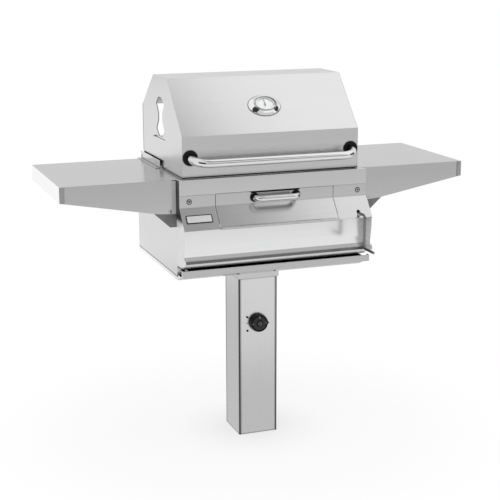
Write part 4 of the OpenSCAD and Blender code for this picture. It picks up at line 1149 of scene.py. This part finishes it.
def make_floor(stage):
    """Round pale floor: rings round a middle pole. For the camera it goes to plain white away from the grill
    and keeps the grill's shadow, and mirrors see their own level of it."""
    radii = np.concatenate([np.linspace(0.05, 1, 12), np.linspace(1.2, stage.floor_radius, 10)])
    points, (rings, middle, _) = lathe([(r, 0.0) for r in radii], FLOOR_SIDES)
    rows = [row for block in (rings, middle) for row in block[:, ::-1].tolist()]
    net = new_net("pale_floor")
    net.shade({"Base Color": (0.86, 0.86, 0.86, 1), "Roughness": 0.9})
    out = net.add("VectorMath", {0: net.place()}, "Value", operation="LENGTH")
    white_share = net.ramp(net.ranged(out, 0, stage.floor_radius), FLOOR_WHITE)
    seen = net.math("MULTIPLY", net.rays("Is Camera Ray"), white_share)
    behind = net.add("VectorMath", {0: net.place(), 1: (0, FLOOR_SHADE_Y, 0)}, "Value", operation="DISTANCE")
    level = net.ramp(net.ranged(behind, 0, FLOOR_SHADE_REACH), FLOOR_MIRRORED)
    pale, white = net.nodes["Principled BSDF"].outputs["BSDF"], net.add("Emission", {}, "Emission")
    to_white = net.add("MixShader", {"Fac": seen, 1: pale, 2: white}, "Shader")
    mirrored = net.rays("Is Glossy Ray", "Is Transmission Ray")
    mirror = net.add("Emission", {"Color": level}, "Emission")
    to_mirror = net.add("MixShader", {"Fac": mirrored, 1: to_white, 2: mirror}, "Shader")
    net.fill(net.nodes["Material Output"], {"Surface": to_mirror})
    stage_object("floor", points[:-1].tolist(), rows, net)


def make_world(stage):
    """White background for the camera, metal and glass, and even light of the sky's level for the rest."""
    world = bpy.data.worlds.new("studio")
    bpy.context.scene.world = world
    net = Net(world)
    white = (1, 1, 1, 1)
    even = net.nodes["Background"]
    net.fill(even, {"Color": white, "Strength": stage.sky_level})
    background = net.add("Background", {"Color": white}, "Background")
    seen = net.rays("Is Camera Ray", "Is Glossy Ray", "Is Transmission Ray")
    both = net.add("MixShader", {"Fac": seen, 1: even.outputs["Background"], 2: background}, "Shader")
    net.fill(net.nodes["World Output"], {"Surface": both})


# Upright cards, as (name, start in plan, end in plan, foot, top, level)
CARDS = (
    ("front_card", (-2.5, -4.2), (5, -4.2), 0, 1.6, "card_grey"),
    ("upper_card", (-2.5, -4.2), (5, -4.2), 1.6, 2.4, "band_grey"),
    ("back_card", (-5, 3.2), (5, 3.2), 1.0, 3.2, "back_grey"),
    ("left_bank", (-3.2, -2.0), (-1.3, -3.2), 0.7, 3.2, "flag_grey"),
    ("right_bank", (3.6, -2.0), (3.6, 0.4), 0.3, 2.1, "flag_grey"),
)
# The ceiling cloth: its corners in plan, its height, the way that its level rises and where it does
CEILING_CORNERS, CEILING_HEIGHT = ((-0.5, -2.6), (3.2, -2.6), (3.2, 0.7), (-0.5, 0.7)), 2.9
CEILING_SLOPE = (0.762, 0.648, 0.0)
CEILING_EDGE = (-0.36, 0.06)


def make_card(name, corners, level):
    """A flat studio card that only mirrors and glass see. Its level is a number, or for the ceiling cloth a
    pair, from its left and front to its right and rear."""
    net = new_net(name)
    if isinstance(level, tuple):
        across = net.add("VectorMath", {0: net.place(), 1: CEILING_SLOPE}, "Value", operation="DOT_PRODUCT")
        level = net.ranged(across, *CEILING_EDGE, *level, interpolation_type="SMOOTHSTEP")
    glow = net.add("Emission", {"Color": (1, 1, 1, 1), "Strength": level}, "Emission")
    net.fill(net.nodes["Material Output"], {"Surface": glow})
    card = stage_object(name, corners, [(0, 1, 2, 3)], net)
    for kind in ("camera", "diffuse", "shadow", "volume_scatter"):
        setattr(card, "visible_" + kind, False)


def make_cards(stage):
    """The cards round the grill: a grey one in front with a dark band over it, a pale one behind, a dark flag
    at each side and a graded cloth overhead."""
    for name, start, end, foot, top, level in CARDS:
        corners = [(*start, foot), (*end, foot), (*end, top), (*start, top)]
        make_card(name, corners, getattr(stage, level))
    corners = [(*corner, CEILING_HEIGHT) for corner in CEILING_CORNERS]
    make_card("ceiling", corners, (stage.ceiling_low, stage.ceiling_high))


# Square lamps over the grill and at its front left, as (name, place, target, power)
SOFTBOXES = (
    ("top_softbox", (0.4, -0.5, 3.0), (0, 0, 0.9), "top_light"),
    ("front_softbox", (-2.6, -3.4, 3.2), (0, 0, 0.8), "front_light"),
)


def make_softbox(name, place, target, power, side=1.8):
    """Square area light at a place, facing a target, which mirrors don't see."""
    data = bpy.data.lights.new(name, "AREA")
    data.shape = "RECTANGLE"
    data.size, data.size_y = side, side
    data.energy = power
    lamp = bpy.data.objects.new(name, data)
    lamp.visible_camera = False
    lamp.visible_glossy = False
    away = (Vector(place) - Vector(target)).normalized()
    lamp.matrix_world = Matrix.Translation(place) @ away.to_track_quat("Z", "Y").to_matrix().to_4x4()
    bpy.context.scene.collection.objects.link(lamp)


PIECE_OPERATORS = (
    GRILL_OT_finishes,
    GRILL_OT_hood_handle,
    GRILL_OT_door_handle,
    GRILL_OT_bezels,
    GRILL_OT_thermometer,
    GRILL_OT_knob,
    GRILL_OT_base_pan,
    GRILL_OT_lower_front,
    GRILL_OT_skirt_edges,
    GRILL_OT_post_marks,
    GRILL_OT_plate,
    GRILL_OT_screws,
    GRILL_OT_stage,
)


class GRILL_PT_panel(bpy.types.Panel):
    """Lists the grill's sizes, colours and pieces"""

    bl_idname = "GRILL_PT_panel"
    bl_label = "Pedestal grill"
    bl_space_type = "VIEW_3D"
    bl_region_type = "UI"
    bl_category = "Grill"

    def draw(self, context):
        for group in (context.scene.grill_looks, context.scene.grill_stage):
            box = self.layout.box()
            for name in group.bl_rna.properties.keys():
                if name not in ("rna_type", "name"):
                    box.prop(group, name)
        for operator in PIECE_OPERATORS:
            self.layout.operator(operator.bl_idname)


CLASSES = (GrillLooks, GrillStage, *PIECE_OPERATORS, GRILL_PT_panel)


def register():
    """Registers the classes and hangs both groups of properties on the scene."""
    for cls in CLASSES:
        bpy.utils.register_class(cls)
    bpy.types.Scene.grill_looks = PointerProperty(type=GrillLooks)
    bpy.types.Scene.grill_stage = PointerProperty(type=GrillStage)


def unregister():
    """Takes back what register did."""
    del bpy.types.Scene.grill_stage
    del bpy.types.Scene.grill_looks
    for cls in reversed(CLASSES):
        bpy.utils.unregister_class(cls)


def main():
    """Registers the add-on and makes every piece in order."""
    register()
    for operator in PIECE_OPERATORS:
        group, name = operator.bl_idname.split(".")
        getattr(getattr(bpy.ops, group), name)()


if __name__ == "__main__":
    main()
